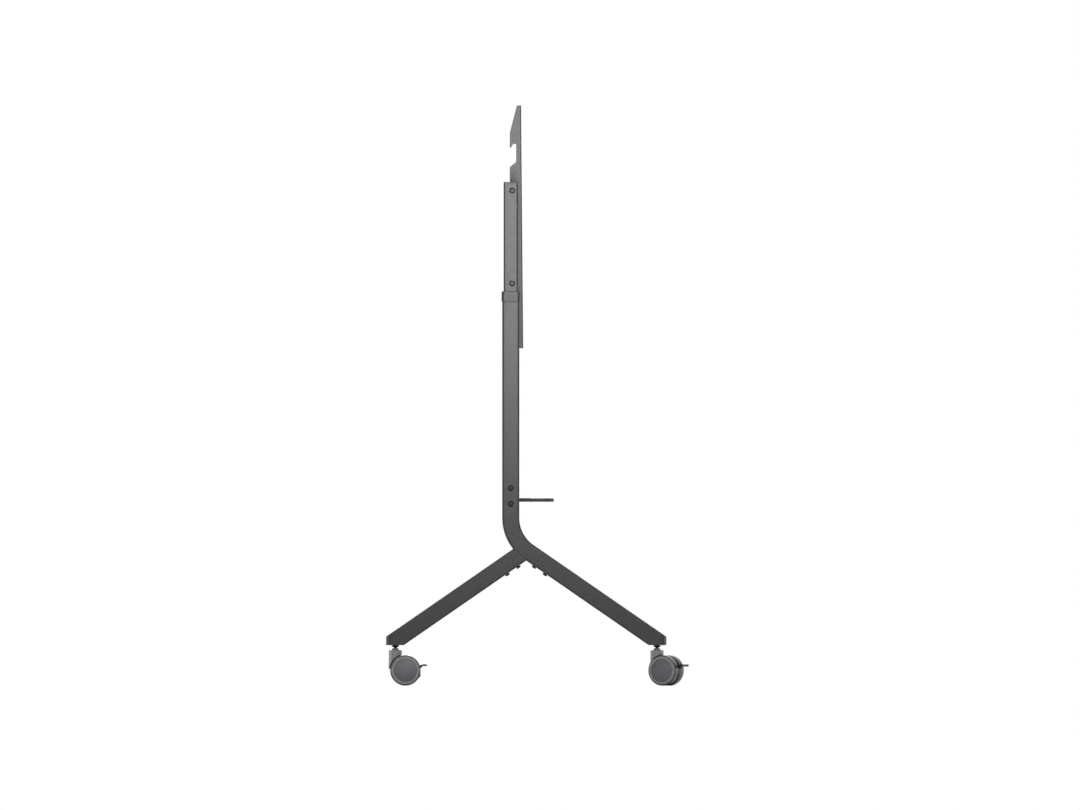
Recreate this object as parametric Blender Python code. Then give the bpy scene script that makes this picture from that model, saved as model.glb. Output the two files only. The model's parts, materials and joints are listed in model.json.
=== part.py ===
"""Height-adjustable floor stand for a display: two bent posts on splayed legs with
braked twin-wheel casters, telescopic upper tubes, two rails and two hooked display arms.

Metres, +Z up. The display faces -Y, left is -X as seen from the front, and the origin
is on the floor under the middle of the stand's outline.
"""

import math

import bmesh
import bpy
from mathutils import Matrix, Vector

# Clearances
GAP = 0.0003          # between faces that touch on the real stand
BOLT_CLEARANCE = 0.0003
MERGE = 0.00001

# Outer posts, bent forward into the front legs
POST_SPACING = 0.680  # between the two posts' centre lines
POST_DEPTH = 0.042
POST_WIDTH = 0.030
POST_WALL = 0.002
POST_CORNER = 0.004
POST_TOP_Z = 0.948
BEND_RADIUS = 0.100   # centre line
BEND_STEPS = 10
CORNER_STEPS = 3

# Legs. Reaches are measured from the plane where the two legs' undersides meet
LEG_ANGLE = math.radians(34.62)  # below the horizontal
LEG_REACH = 0.3422
POST_SETBACK = 0.0377  # from that plane back to the post's centre line
NOSE_HEIGHT = 0.0209
LEG_END_LENGTH = 0.0357  # along the leg's top edge
LEG_END_EDGE = 0.0025
LEG_END_PLUG = 0.030
NOSE_STEPS = 12

# Inner tubes
INNER_DEPTH = 0.035
INNER_WIDTH = 0.023
INNER_WALL = 0.002
INNER_CORNER = 0.003
INNER_TOP_Z = 1.2262
INNER_LENGTH = 0.670
CAP_HEAD = 0.003
CAP_EDGE = 0.001
CAP_PLUG = 0.014

# Collars that guide the inner tubes in the post tops
COLLAR_BOTTOM_Z = 0.9358
COLLAR_TOP_Z = 0.9623
COLLAR_LIP = 0.0015   # how far the collar stands out from the post
COLLAR_EDGE = 0.001
COLLAR_SKIRT = 0.020  # guide inside the post, below its top

# Clamp screws that hold the height, on the posts' inner sides
CLAMP_DROP = 0.050    # below the post's top
CLAMP_NUT_RADIUS = 0.009
CLAMP_NUT_HEIGHT = 0.006

# Crossbar between the posts, and the shelf on its front
CROSSBAR_Z = 0.4632
CROSSBAR_HEIGHT = 0.060
CROSSBAR_DEPTH = 0.030
CROSSBAR_CORNER = 0.004
END_PLATE = 0.003
PLATE_PROUD = 0.0005   # end plates stand out this far from their bar's ends
CROSSBAR_BOLT_PITCH = 0.038
SHELF_WIDTH = 0.600
SHELF_FRONT = 0.107   # forward of the posts' centre line
SHELF_TOP_Z = 0.4577
SHELF_RIM = 0.009
SHELF_SHEET = 0.002
SHELF_CORNER = 0.027
SHELF_CORNER_STEPS = 6
SHELF_UPSTAND = 0.028

# Rails between the inner tubes
RAIL_BACK = -0.0060   # forward of the posts' centre line, so behind it
RAIL_FRONT = 0.0127
RAIL_HEIGHT = 0.0270
RAIL_SHEET = 0.0025
RAIL_HEM = 0.012      # height of the doubled front lip
RAIL_STEPS = 3
RAIL_BLOCK = 0.010     # length of the tapped block in each end of a rail
RAIL_BLOCK_FLOOR = 0.002  # what its blind hole leaves
UPPER_RAIL_TOP_Z = 1.2214
LOWER_RAIL_DROP = 0.2262

# Display arms
ARM_LENGTH = 0.5926
ARM_WIDTH = 0.032
ARM_SHEET = 0.002
ARM_TOP_FRONT = 0.0252     # forward of the posts' centre line
ARM_BOTTOM_FRONT = 0.0304
ARM_TOP_DEPTH = 0.0105
ARM_TAPER = 0.0671         # height of the slanted back edge above the top hook
ARM_HANG = 0.1942          # from the arm's top down to the seat of the hook in use
ARM_SPACING = 0.400        # between the two arms at rest
HOOK_PITCH = 0.100
HOOK_BACK = -0.0025
HOOK_TONGUE = 0.0104       # how far the hook reaches below its seat
HOOK_MOUTH_BACK = 0.0047
HOOK_RADIUS = 0.0022
HOOK_SHOULDER = 0.0122     # height of the slanted shoulder over a lower hook
HOOK_NOSE = 0.0015
SLOT_WIDTH = 0.0085
SLOT_LENGTH = 0.080
SLOT_COUNT = 4
SLOT_PITCH = 0.140
SLOT_TOP = 0.055           # from the arm's top to the first slot's upper end

# Brackets inside the legs, where front and rear legs meet
BRACKET_SHEET = 0.004
BRACKET_WIDTH = 0.020
BRACKET_ARM = 0.075
LEG_SCREW_FIRST = 0.0244   # along the underside from the corner between the legs
LEG_SCREW_PITCH = 0.0322

# Button head screws: head radius, head height, shank radius, socket radius
BOLT_HEAD = (0.0070, 0.0040, 0.0040, 0.0028)
SCREW_HEAD = (0.0060, 0.0045, 0.0030, 0.0023)
SOCKET_DEPTH = 0.0022
SCREW_SIDES = 12
THREAD_PAST_PLATE = 0.004

# Casters. Along-caster distances run from the stem towards the wheels
CASTER_HEIGHT = 0.0989     # floor to the leg's underside
STEM_INSET = 0.0230        # from the leg's nose back to the stem
WHEEL_RADIUS = 0.0375
WHEEL_WIDTH = 0.0203
WHEEL_GAP = 0.0110         # between the two wheels' inner faces
WHEEL_SIDES = 24
TRAIL = 0.0243
AXLE_RADIUS = 0.0040
HUB_RADIUS = 0.0075
TREAD_WALL = 0.0060
RIM_RING = 0.0085          # width of the ring round the wheel's disc
HOOD_RADIUS = 0.0160
HOOD_SKIRT_RADIUS = 0.0168
HOOD_SHOULDER_Z = 0.0868
HOOD_BOSS_TOP_Z = 0.0916
HOOD_BOSS_RADIUS = 0.0072
HOOD_SKIRT_Z = 0.0396
HOOD_WHEEL_CLEARANCE = 0.0018
HOOD_SIDES = 20
WEB_THICKNESS = 0.0096
WEB_INSET = 0.0055         # from the tread in to the web's edge
BUMPER_INSET = 0.0004      # from the wheels' front back to the web's bumper
STEM_PIN_RADIUS = 0.0050
STEM_PIN_LENGTH = 0.020
STEM_FLANGE_RADIUS = 0.0093
STEM_FLANGE_HEIGHT = 0.0026
STEM_CONE_HEIGHT = 0.0030
STEM_NECK_RADIUS = 0.0040
STEM_NECK_LENGTH = 0.0200
STEM_SIDES = 16
PEDAL_PIVOT_INSET = 0.0044  # from the bumper back to the pedal's pivot
PEDAL_PIVOT_Z = 0.0460
PEDAL_WIDTH = 0.040
PEDAL_LENGTH = 0.0210      # from the pivot to the tongue's tip
PEDAL_CORNER = 0.004
PEDAL_SHEET = 0.0026
PEDAL_NECK = 0.0040
PEDAL_HUB_WIDTH = 0.0044
PEDAL_HUB_RADIUS = 0.0040
PEDAL_PIN_RADIUS = 0.0015
FRONT_SWIVEL = math.radians(25.0)  # how far the front casters stand turned outwards

# Places worked out from the sizes above
AXLE_Z = WHEEL_RADIUS * math.cos(math.pi / WHEEL_SIDES)  # the wheels' flats meet the floor
WEB_RADIUS = WHEEL_RADIUS - WEB_INSET
BUMPER_REACH = TRAIL + WHEEL_RADIUS - BUMPER_INSET
PEDAL_PIVOT = (BUMPER_REACH - PEDAL_PIVOT_INSET, PEDAL_PIVOT_Z)
PEDAL_REACH = PEDAL_PIVOT[0] + PEDAL_LENGTH
FRONT_REACH = (
    LEG_REACH
    - STEM_INSET
    + (PEDAL_REACH - PEDAL_CORNER) * math.cos(FRONT_SWIVEL)
    + (PEDAL_WIDTH / 2 - PEDAL_CORNER) * math.sin(FRONT_SWIVEL)
    + PEDAL_CORNER
)
APEX_Y = (FRONT_REACH - LEG_REACH) / 2
POST_Y = APEX_Y + POST_SETBACK
LEG_TOP_Z = CASTER_HEIGHT + NOSE_HEIGHT + LEG_REACH * math.tan(LEG_ANGLE)
LEG_AXIS_Z = LEG_TOP_Z - POST_DEPTH / 2 / math.cos(LEG_ANGLE)
APEX_Z = LEG_TOP_Z - POST_DEPTH / math.cos(LEG_ANGLE)
BEND_ANGLE = math.radians(90) - LEG_ANGLE
BEND_END = BEND_RADIUS * (1 - math.cos(BEND_ANGLE)) - POST_SETBACK
BEND_Z = LEG_AXIS_Z - BEND_END * math.tan(LEG_ANGLE) + BEND_RADIUS * math.sin(BEND_ANGLE)
CLAMP_Z = POST_TOP_Z - CLAMP_DROP
RAIL_BOLT = ((RAIL_BACK + RAIL_FRONT) / 2, RAIL_HEIGHT / 2)
SIDES = {"left": -1, "right": 1}


def material(name, colour, roughness, metallic):
    made = bpy.data.materials.new(name)
    made.use_nodes = True
    shader = made.node_tree.nodes["Principled BSDF"]
    shader.inputs["Base Color"].default_value = (*colour, 1.0)
    shader.inputs["Roughness"].default_value = roughness
    shader.inputs["Metallic"].default_value = metallic
    return made


def powder_coated_steel():
    return material("powder_coated_steel", (0.095, 0.095, 0.097), 0.55, 0.0)


def black_zinc_steel():
    return material("black_zinc_steel", (0.045, 0.045, 0.046), 0.45, 0.6)


def collar_nylon():
    return material("collar_nylon", (0.080, 0.080, 0.082), 0.50, 0.0)


def caster_nylon():
    return material("caster_nylon", (0.120, 0.120, 0.122), 0.42, 0.0)


def wheel_polyurethane():
    return material("wheel_polyurethane", (0.110, 0.110, 0.112), 0.48, 0.0)


def clear_scene():
    for old in list(bpy.data.objects):
        bpy.data.objects.remove(old)


def piece_from(name, bm):
    """An object made of the finished bmesh, at the origin."""
    bmesh.ops.recalc_face_normals(bm, faces=bm.faces)
    mesh = bpy.data.meshes.new(name)
    bm.to_mesh(mesh)
    bm.free()
    made = bpy.data.objects.new(name, mesh)
    bpy.context.scene.collection.objects.link(made)
    return made


def anchor(name, parent, location, turn=0.0):
    """An empty that stands on a joint's axis, for the pieces that move with it."""
    made = bpy.data.objects.new(name, None)
    bpy.context.scene.collection.objects.link(made)
    made.parent = parent
    made.location = location
    made.rotation_euler = (0, 0, turn)
    return made


def settle(piece, parent, location, coat, smooth=True):
    """Gives a finished piece its place, its parent and its material."""
    piece.parent = parent
    piece.location = location
    piece.data.materials.clear()
    piece.data.materials.append(coat)
    if smooth:
        piece.data.shade_smooth()
        piece.data.set_sharp_from_angle(angle=math.radians(35))
    return piece


def copy_of(piece, name):
    """A second object that shares the first one's mesh."""
    made = piece.copy()
    made.name = name
    bpy.context.scene.collection.objects.link(made)
    return made


def combine(piece, tool, operation):
    """Joins the tool to the piece or cuts it out, and takes the tool away."""
    step = piece.modifiers.new(operation, "BOOLEAN")
    step.operation = operation
    step.solver = "EXACT"
    step.object = tool
    graph = bpy.context.evaluated_depsgraph_get()
    result = bpy.data.meshes.new_from_object(piece.evaluated_get(graph))
    piece.modifiers.remove(step)
    piece.data = result
    bpy.data.objects.remove(tool)
    return piece


def join(piece, tool):
    return combine(piece, tool, "UNION")


def cut(piece, tool):
    return combine(piece, tool, "DIFFERENCE")


def rounded_section(depth, width, radius):
    """Corner-rounded rectangle, width along X and depth along Y, counter-clockwise."""
    points = []
    for quarter, (side_x, side_y) in enumerate(((1, 1), (-1, 1), (-1, -1), (1, -1))):
        centre_x = side_x * (width / 2 - radius)
        centre_y = side_y * (depth / 2 - radius)
        for step in range(CORNER_STEPS + 1):
            angle = math.radians(90) * (quarter + step / CORNER_STEPS)
            points.append((
                centre_x + radius * math.cos(angle),
                centre_y + radius * math.sin(angle),
            ))
    return points


def ring(bm, section, z):
    """Corners of a section at height z."""
    return [bm.verts.new((x, y, z)) for x, y in section]


def band(bm, lower, upper):
    """Faces from one ring of corners to another of the same count."""
    return [
        bm.faces.new((lower[i - 1], lower[i], upper[i], upper[i - 1])) for i in range(len(lower))
    ]


def end_face(bm, section, wall, z):
    """The end of a bar with this section or, where a wall is given, of a tube. The wall is
    a pair of sections, outer and inner."""
    if wall:
        return band(bm, ring(bm, wall[0], z), ring(bm, wall[1], z))
    return [bm.faces.new(ring(bm, section, z))]


def run(bm, faces, offset):
    """Extrudes faces along a straight run and returns the faces at its end."""
    made = bmesh.ops.extrude_face_region(bm, geom=faces)["geom"]
    far = [item for item in made if isinstance(item, bmesh.types.BMVert)]
    bmesh.ops.translate(bm, verts=far, vec=offset)
    return [item for item in made if isinstance(item, bmesh.types.BMFace)]


def bend(bm, faces, centre, angle):
    """Extrudes faces about an axis along X and returns the faces at its end."""
    made = bmesh.ops.spin(
        bm, geom=faces, cent=centre, axis=(1, 0, 0), angle=angle, steps=BEND_STEPS
    )["geom_last"]
    return [item for item in made if isinstance(item, bmesh.types.BMFace)]


def stacked(name, rings, closed):
    """Joins rounded sections one above the other. A closed stack ends on its first ring,
    as round a sleeve, and an open one has a face over each end."""
    bm = bmesh.new()
    loops = [ring(bm, section, z) for section, z in rings]
    for first, second in zip(loops, loops[1:]):
        band(bm, first, second)
    if closed:
        band(bm, loops[-1], loops[0])
    else:
        bm.faces.new(loops[0])
        bm.faces.new(loops[-1])
    return piece_from(name, bm)


def prism(name, outline, low, high):
    """Extrudes an outline of (forward, height) points along X. Forward is -Y."""
    bm = bmesh.new()
    face = bm.faces.new([bm.verts.new((low, -forward, z)) for forward, z in outline])
    made = bmesh.ops.extrude_face_region(bm, geom=[face])["geom"]
    far = [item for item in made if isinstance(item, bmesh.types.BMVert)]
    bmesh.ops.translate(bm, verts=far, vec=(high - low, 0, 0))
    return piece_from(name, bm)


def box(name, low, high):
    """A box from X, forward and height limits."""
    outline = (
        (low[1], low[2]), (high[1], low[2]), (high[1], high[2]), (low[1], high[2])
    )
    return prism(name, outline, low[0], high[0])


def rod(name, radius, start, end, sides):
    """A round bar between two points."""
    start = Vector(start)
    along = Vector(end) - start
    bm = bmesh.new()
    bmesh.ops.create_cone(
        bm,
        cap_ends=True,
        segments=sides,
        radius1=radius,
        radius2=radius,
        depth=along.length,
        matrix=Matrix.Translation(start + along / 2)
        @ along.to_track_quat("Z", "Y").to_matrix().to_4x4(),
    )
    return piece_from(name, bm)


def turned(name, profile, sides):
    """Revolves a profile of (radius, height) points about Z. It starts and ends on the axis."""
    bm = bmesh.new()
    points = [bm.verts.new((radius, 0, z)) for radius, z in profile]
    edges = [bm.edges.new(pair) for pair in zip(points, points[1:])]
    bmesh.ops.spin(
        bm,
        geom=points + edges,
        cent=(0, 0, 0),
        axis=(0, 0, 1),
        angle=math.radians(360),
        steps=sides,
    )
    bmesh.ops.remove_doubles(bm, verts=bm.verts, dist=MERGE)
    return piece_from(name, bm)


def leg_point(along, below):
    """A place on a leg, from its nose's top corner back along the top edge and then
    square down from it, as (distance from the plane between the legs, height)."""
    return (
        LEG_REACH - along * math.cos(LEG_ANGLE) - below * math.sin(LEG_ANGLE),
        CASTER_HEIGHT + NOSE_HEIGHT + along * math.sin(LEG_ANGLE) - below * math.cos(LEG_ANGLE),
    )


def underside_point(along, above):
    """A place on a leg, from the corner between the legs along the underside and then
    square up from it, as (distance from the plane between the legs, height)."""
    return (
        along * math.cos(LEG_ANGLE) + above * math.sin(LEG_ANGLE),
        APEX_Z - along * math.sin(LEG_ANGLE) + above * math.cos(LEG_ANGLE),
    )


def leg_section(growth):
    """Section of the post and leg tube, grown outwards or, if negative, inwards."""
    return rounded_section(
        POST_DEPTH + 2 * growth, POST_WIDTH + 2 * growth, POST_CORNER + growth
    )


def tube_section(growth):
    """Section of the inner tube, grown outwards or, if negative, inwards."""
    return rounded_section(
        INNER_DEPTH + 2 * growth, INNER_WIDTH + 2 * growth, INNER_CORNER + growth
    )


def swept_post(name, start):
    """Draws the start face from a post's top round the bend to the front leg's end."""
    bm = bmesh.new()
    top = end_face(bm, *start, POST_TOP_Z)
    bend_top = run(bm, top, (0, 0, BEND_Z - POST_TOP_Z))
    bend_foot = bend(bm, bend_top, (0, -BEND_RADIUS, BEND_Z), -BEND_ANGLE)
    end = leg_point(LEG_END_LENGTH + GAP, POST_DEPTH / 2)
    length = (end[0] - BEND_END) / math.cos(LEG_ANGLE)
    run(bm, bend_foot, (0, -length * math.cos(LEG_ANGLE), -length * math.sin(LEG_ANGLE)))
    bmesh.ops.delete(bm, geom=bend_top + bend_foot, context="FACES_ONLY")
    return piece_from(name, bm)


def tube_wall():
    return leg_section(0), leg_section(-POST_WALL)


def post_leg(side):
    """Outer post and front leg, one bent tube, with its bolt holes and clamp nut."""
    post = swept_post("post", (None, tube_wall()))
    inboard = -side * POST_WIDTH / 2
    nut_end = inboard - side * CLAMP_NUT_HEIGHT
    join(post, rod(
        "nut", CLAMP_NUT_RADIUS,
        (inboard + side * POST_WALL / 2, 0, CLAMP_Z), (nut_end, 0, CLAMP_Z), SCREW_SIDES,
    ))
    hole = BOLT_HEAD[2] + BOLT_CLEARANCE
    cut(post, rod(
        "clamp_hole", hole, (0, 0, CLAMP_Z), (nut_end * 2, 0, CLAMP_Z), SCREW_SIDES
    ))
    for level in (-1, 1):
        z = CROSSBAR_Z + level * CROSSBAR_BOLT_PITCH / 2
        cut(post, rod("bolt_hole", hole, (-POST_WIDTH, 0, z), (POST_WIDTH, 0, z), SCREW_SIDES))
    cut_screw_holes(post, 1, POST_SETBACK)
    cut(post, bracket_slot())
    return post


def rear_leg():
    """Rear leg tube, cut at its upper end to the shape of the bent post."""
    bm = bmesh.new()
    end = leg_point(LEG_END_LENGTH + GAP, POST_DEPTH / 2)
    length = end[0] / math.cos(LEG_ANGLE)
    run(bm, end_face(bm, None, tube_wall(), 0), (0, 0, -length))
    tilt = Matrix.Rotation(BEND_ANGLE, 4, "X")
    bmesh.ops.transform(
        bm, matrix=Matrix.Translation((0, -POST_SETBACK, LEG_AXIS_Z)) @ tilt, verts=bm.verts
    )
    leg = piece_from("rear_leg", bm)
    cut(leg, swept_post("post_space", (leg_section(GAP), None)))
    cut_screw_holes(leg, -1, POST_SETBACK)
    return leg


def screw_axis(facing, number, above):
    """Where a leg screw's axis passes a height above the underside, as (forward, height)
    from the plane between the legs. Facing is 1 on a front leg and -1 on a rear one."""
    forward, z = underside_point(LEG_SCREW_FIRST + number * LEG_SCREW_PITCH, above)
    return facing * forward, z


def cut_screw_holes(piece, facing, setback):
    """Holes square to a leg's underside, in a piece whose forward zero lies a setback
    behind the plane between the legs."""
    for number in range(2):
        low = screw_axis(facing, number, -POST_WALL)
        high = screw_axis(facing, number, POST_WALL + 2 * BRACKET_SHEET)
        cut(piece, rod(
            "screw_hole", SCREW_HEAD[2] + BOLT_CLEARANCE,
            (0, -low[0] - setback, low[1]), (0, -high[0] - setback, high[1]), SCREW_SIDES,
        ))


def bracket_outline(low, high, arm):
    """Folded strip lying a height above both undersides, as (forward, height) points."""
    lower = [underside_point(arm, low), underside_point(arm, high)]
    peak_low = (0, APEX_Z + low / math.cos(LEG_ANGLE))
    peak_high = (0, APEX_Z + high / math.cos(LEG_ANGLE))
    mirrored = [(-forward, z) for forward, z in lower]
    return [lower[0], lower[1], peak_high, mirrored[1], mirrored[0], peak_low]


def bracket_slot():
    """The slot in a post's wall that lets the bracket pass into the rear leg."""
    low = POST_WALL + GAP / 2
    high = POST_WALL + BRACKET_SHEET + 2 * GAP
    outline = bracket_outline(low, high, BRACKET_ARM / 2)
    outline = [(forward + POST_SETBACK, z) for forward, z in outline]
    half = BRACKET_WIDTH / 2 + GAP
    return prism("bracket_slot", outline, -half, half)


def apex_bracket():
    """Folded steel bracket inside both legs, which the eight underside screws hold."""
    low = POST_WALL + GAP
    outline = bracket_outline(low, low + BRACKET_SHEET, BRACKET_ARM)
    bracket = prism("bracket", outline, -BRACKET_WIDTH / 2, BRACKET_WIDTH / 2)
    for facing in (1, -1):
        cut_screw_holes(bracket, facing, 0)
    return bracket


def leg_end():
    """Cast end of a front leg: a full-round nose, a flat foot for the caster's stem and a
    plug that fits the leg tube. Forward zero is the plane between the legs."""
    half = POST_WIDTH / 2
    back = leg_point(LEG_END_LENGTH, POST_DEPTH)[0] - half
    outline = [(-half, back), (half, back)]
    for step in range(NOSE_STEPS + 1):
        angle = math.pi * step / NOSE_STEPS
        outline.append((half * math.cos(angle), LEG_REACH - half + half * math.sin(angle)))
    bm = bmesh.new()
    face = bm.faces.new([bm.verts.new((x, -f, CASTER_HEIGHT)) for x, f in outline])
    made = bmesh.ops.extrude_face_region(bm, geom=[face])["geom"]
    far = [item for item in made if isinstance(item, bmesh.types.BMVert)]
    bmesh.ops.translate(bm, verts=far, vec=(0, 0, POST_DEPTH * 3))
    up = Vector((0, -math.sin(LEG_ANGLE), math.cos(LEG_ANGLE)))
    back_along = Vector((0, math.cos(LEG_ANGLE), math.sin(LEG_ANGLE)))
    top = leg_point(0, 0)
    seam = leg_point(LEG_END_LENGTH, 0)
    floor = leg_point(0, POST_DEPTH)
    for point, outward in ((top, up), (seam, back_along), (floor, -up)):
        parts = bm.verts[:] + bm.edges[:] + bm.faces[:]
        bmesh.ops.bisect_plane(
            bm, geom=parts, plane_co=(0, -point[0], point[1]), plane_no=outward, clear_outer=True
        )
        bmesh.ops.holes_fill(bm, edges=bm.edges, sides=0)
    bmesh.ops.recalc_face_normals(bm, faces=bm.faces)
    nearly_seam = [face for face in bm.faces if face.normal.dot(back_along) > 0.99]
    kept_sharp = {edge for face in nearly_seam for edge in face.edges}
    rounded = [
        edge for edge in bm.edges
        if edge not in kept_sharp and edge.calc_face_angle(0) > math.radians(40)
    ]
    bmesh.ops.bevel(
        bm, geom=rounded, offset=LEG_END_EDGE, segments=2, profile=0.5, affect="EDGES",
        clamp_overlap=True,
    )
    end = piece_from("leg_end", bm)
    join(end, end_plug())
    stem = STEM_PIN_RADIUS + BOLT_CLEARANCE
    stem_y = STEM_INSET - LEG_REACH
    cut(end, rod(
        "stem_bore", stem, (0, stem_y, CASTER_HEIGHT - STEM_PIN_LENGTH),
        (0, stem_y, CASTER_HEIGHT + STEM_PIN_LENGTH + GAP), STEM_SIDES,
    ))
    return end


def end_plug():
    """The part of a leg end that sits inside the tube."""
    inset = 2 * (POST_WALL + GAP)
    section = rounded_section(POST_DEPTH - inset, POST_WIDTH - inset, POST_CORNER - POST_WALL)
    plug = stacked("plug", [(section, -POST_WALL), (section, LEG_END_PLUG)], closed=False)
    centre = leg_point(LEG_END_LENGTH, POST_DEPTH / 2)
    tilt = Matrix.Rotation(-BEND_ANGLE, 4, "X")
    plug.data.transform(Matrix.Translation((0, -centre[0], centre[1])) @ tilt)
    return plug


def crossbar():
    """Rectangular tube between the posts with a drilled plate welded in each end."""
    half = POST_SPACING / 2 - POST_WIDTH / 2 - GAP
    bm = bmesh.new()
    wall = [
        rounded_section(
            CROSSBAR_DEPTH - 2 * inset, CROSSBAR_HEIGHT - 2 * inset, CROSSBAR_CORNER - inset
        )
        for inset in (0, POST_WALL)
    ]
    end = half - PLATE_PROUD
    run(bm, end_face(bm, None, wall, -end), (0, 0, 2 * end))
    bmesh.ops.transform(bm, matrix=Matrix.Rotation(math.radians(90), 4, "Y"), verts=bm.verts)
    bar = piece_from("crossbar", bm)
    depth = CROSSBAR_DEPTH / 2 - POST_WALL / 2
    height = CROSSBAR_HEIGHT / 2 - POST_WALL / 2
    hole = BOLT_HEAD[2] + BOLT_CLEARANCE
    for side in SIDES.values():
        outer = side * half
        inner = side * (half - END_PLATE)
        low_x, high_x = min(outer, inner), max(outer, inner)
        join(bar, box("end_plate", (low_x, -depth, -height), (high_x, depth, height)))
        for level in (-1, 1):
            z = level * CROSSBAR_BOLT_PITCH / 2
            cut(bar, rod(
                "bolt_hole", hole, (inner - side * END_PLATE, 0, z),
                (outer + side * END_PLATE, 0, z), SCREW_SIDES,
            ))
    return bar


def shelf():
    """Folded sheet shelf: a flat top with rounded front corners, a rim turned down all
    round and an upstand at the back that lies on the crossbar's front."""
    back = CROSSBAR_DEPTH / 2 + GAP
    half = SHELF_WIDTH / 2
    outline = [(half, back), (-half, back)]
    for quarter, side in ((2, -1), (1, 1)):
        centre_x = side * (half - SHELF_CORNER)
        for step in range(SHELF_CORNER_STEPS + 1):
            angle = math.radians(90) * (quarter - step / SHELF_CORNER_STEPS)
            outline.append((
                centre_x + SHELF_CORNER * math.cos(angle),
                SHELF_FRONT - SHELF_CORNER + SHELF_CORNER * math.sin(angle),
            ))
    bm = bmesh.new()
    top = bm.faces.new([bm.verts.new((x, -f, 0)) for x, f in outline])
    made = bmesh.ops.extrude_face_region(bm, geom=[top])["geom"]
    far = [item for item in made if isinstance(item, bmesh.types.BMVert)]
    bmesh.ops.translate(bm, verts=far, vec=(0, 0, -SHELF_RIM))
    bmesh.ops.recalc_face_normals(bm, faces=bm.faces)
    under = [face for face in bm.faces if face.normal.z < -0.99]
    bmesh.ops.inset_region(bm, faces=under, thickness=SHELF_SHEET, use_even_offset=True)
    hollow = [face for face in bm.faces if face in under]
    made = bmesh.ops.extrude_face_region(bm, geom=hollow)["geom"]
    raised = [item for item in made if isinstance(item, bmesh.types.BMVert)]
    bmesh.ops.translate(bm, verts=raised, vec=(0, 0, SHELF_RIM - SHELF_SHEET))
    bmesh.ops.delete(bm, geom=hollow, context="FACES")
    plate = piece_from("shelf", bm)
    join(plate, box(
        "upstand", (-half, back, -SHELF_SHEET), (half, back + SHELF_SHEET, SHELF_UPSTAND)
    ))
    return plate


def collar():
    """Nylon sleeve: a lip over the post's top and a skirt that guides the inner tube.
    Height zero is the post's top."""
    bore = tube_section(GAP)
    skirt = leg_section(-POST_WALL - GAP)
    over_post = leg_section(GAP)
    top = COLLAR_TOP_Z - POST_TOP_Z
    bottom = COLLAR_BOTTOM_Z - POST_TOP_Z
    rings = [
        (bore, -COLLAR_SKIRT), (skirt, -COLLAR_SKIRT), (skirt, GAP), (over_post, GAP),
        (over_post, bottom), (leg_section(COLLAR_LIP), bottom),
        (leg_section(COLLAR_LIP), top - COLLAR_EDGE),
        (leg_section(COLLAR_LIP - COLLAR_EDGE), top), (bore, top),
    ]
    return stacked("collar", rings, closed=True)


def inner_tube():
    """Telescopic tube, with a cross hole for each rail's bolt. Height zero is its top."""
    rings = [
        (tube_section(0), -INNER_LENGTH), (tube_section(0), 0),
        (tube_section(-INNER_WALL), 0), (tube_section(-INNER_WALL), -INNER_LENGTH),
    ]
    tube = stacked("inner_tube", rings, closed=True)
    hole = BOLT_HEAD[2] + BOLT_CLEARANCE
    for drop in (0, LOWER_RAIL_DROP):
        z = UPPER_RAIL_TOP_Z - RAIL_BOLT[1] - drop - INNER_TOP_Z
        y = -RAIL_BOLT[0]
        cut(tube, rod("bolt_hole", hole, (-INNER_WIDTH, y, z), (INNER_WIDTH, y, z), SCREW_SIDES))
    return tube


def tube_cap():
    """Plug for an inner tube's top. Height zero is the tube's top."""
    plug = tube_section(-INNER_WALL - GAP)
    rings = [
        (plug, -CAP_PLUG), (plug, GAP), (tube_section(0), GAP),
        (tube_section(0), CAP_HEAD - CAP_EDGE), (tube_section(-CAP_EDGE), CAP_HEAD),
    ]
    return stacked("tube_cap", rings, closed=False)


def rail():
    """Upward-open steel channel between the inner tubes, its front lip doubled over for
    the hooks, with a block in each end that has a blind hole. Height zero is the lip's top."""
    half = POST_SPACING / 2 - INNER_WIDTH / 2 - GAP
    sheet = RAIL_SHEET
    floor = -RAIL_HEIGHT
    outline = [
        (RAIL_BACK, floor), (RAIL_FRONT, floor), (RAIL_FRONT, -sheet),
    ]
    for step in range(1, 2 * RAIL_STEPS):
        angle = math.radians(90) * step / RAIL_STEPS
        outline.append((
            RAIL_FRONT - sheet + sheet * math.cos(angle), -sheet + sheet * math.sin(angle)
        ))
    outline += [
        (RAIL_FRONT - 2 * sheet, -sheet), (RAIL_FRONT - 2 * sheet, -RAIL_HEM),
        (RAIL_FRONT - sheet, -RAIL_HEM), (RAIL_FRONT - sheet, floor + sheet),
        (RAIL_BACK + sheet, floor + sheet), (RAIL_BACK + sheet, -2 * sheet),
        (RAIL_BACK, -2 * sheet),
    ]
    channel = prism("rail", outline, PLATE_PROUD - half, half - PLATE_PROUD)
    hole = BOLT_HEAD[2] + BOLT_CLEARANCE
    for side in SIDES.values():
        outer = side * half
        inner = side * (half - RAIL_BLOCK)
        low = (min(outer, inner), RAIL_BACK + sheet / 2, floor + sheet / 2)
        high = (max(outer, inner), RAIL_FRONT - sheet / 2, -sheet)
        join(channel, box("end_block", low, high))
        y, z = -RAIL_BOLT[0], -RAIL_BOLT[1]
        cut(channel, rod(
            "bolt_hole", hole, (inner + side * RAIL_BLOCK_FLOOR, y, z),
            (outer + side * RAIL_BLOCK, y, z), SCREW_SIDES,
        ))
    return channel


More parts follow.
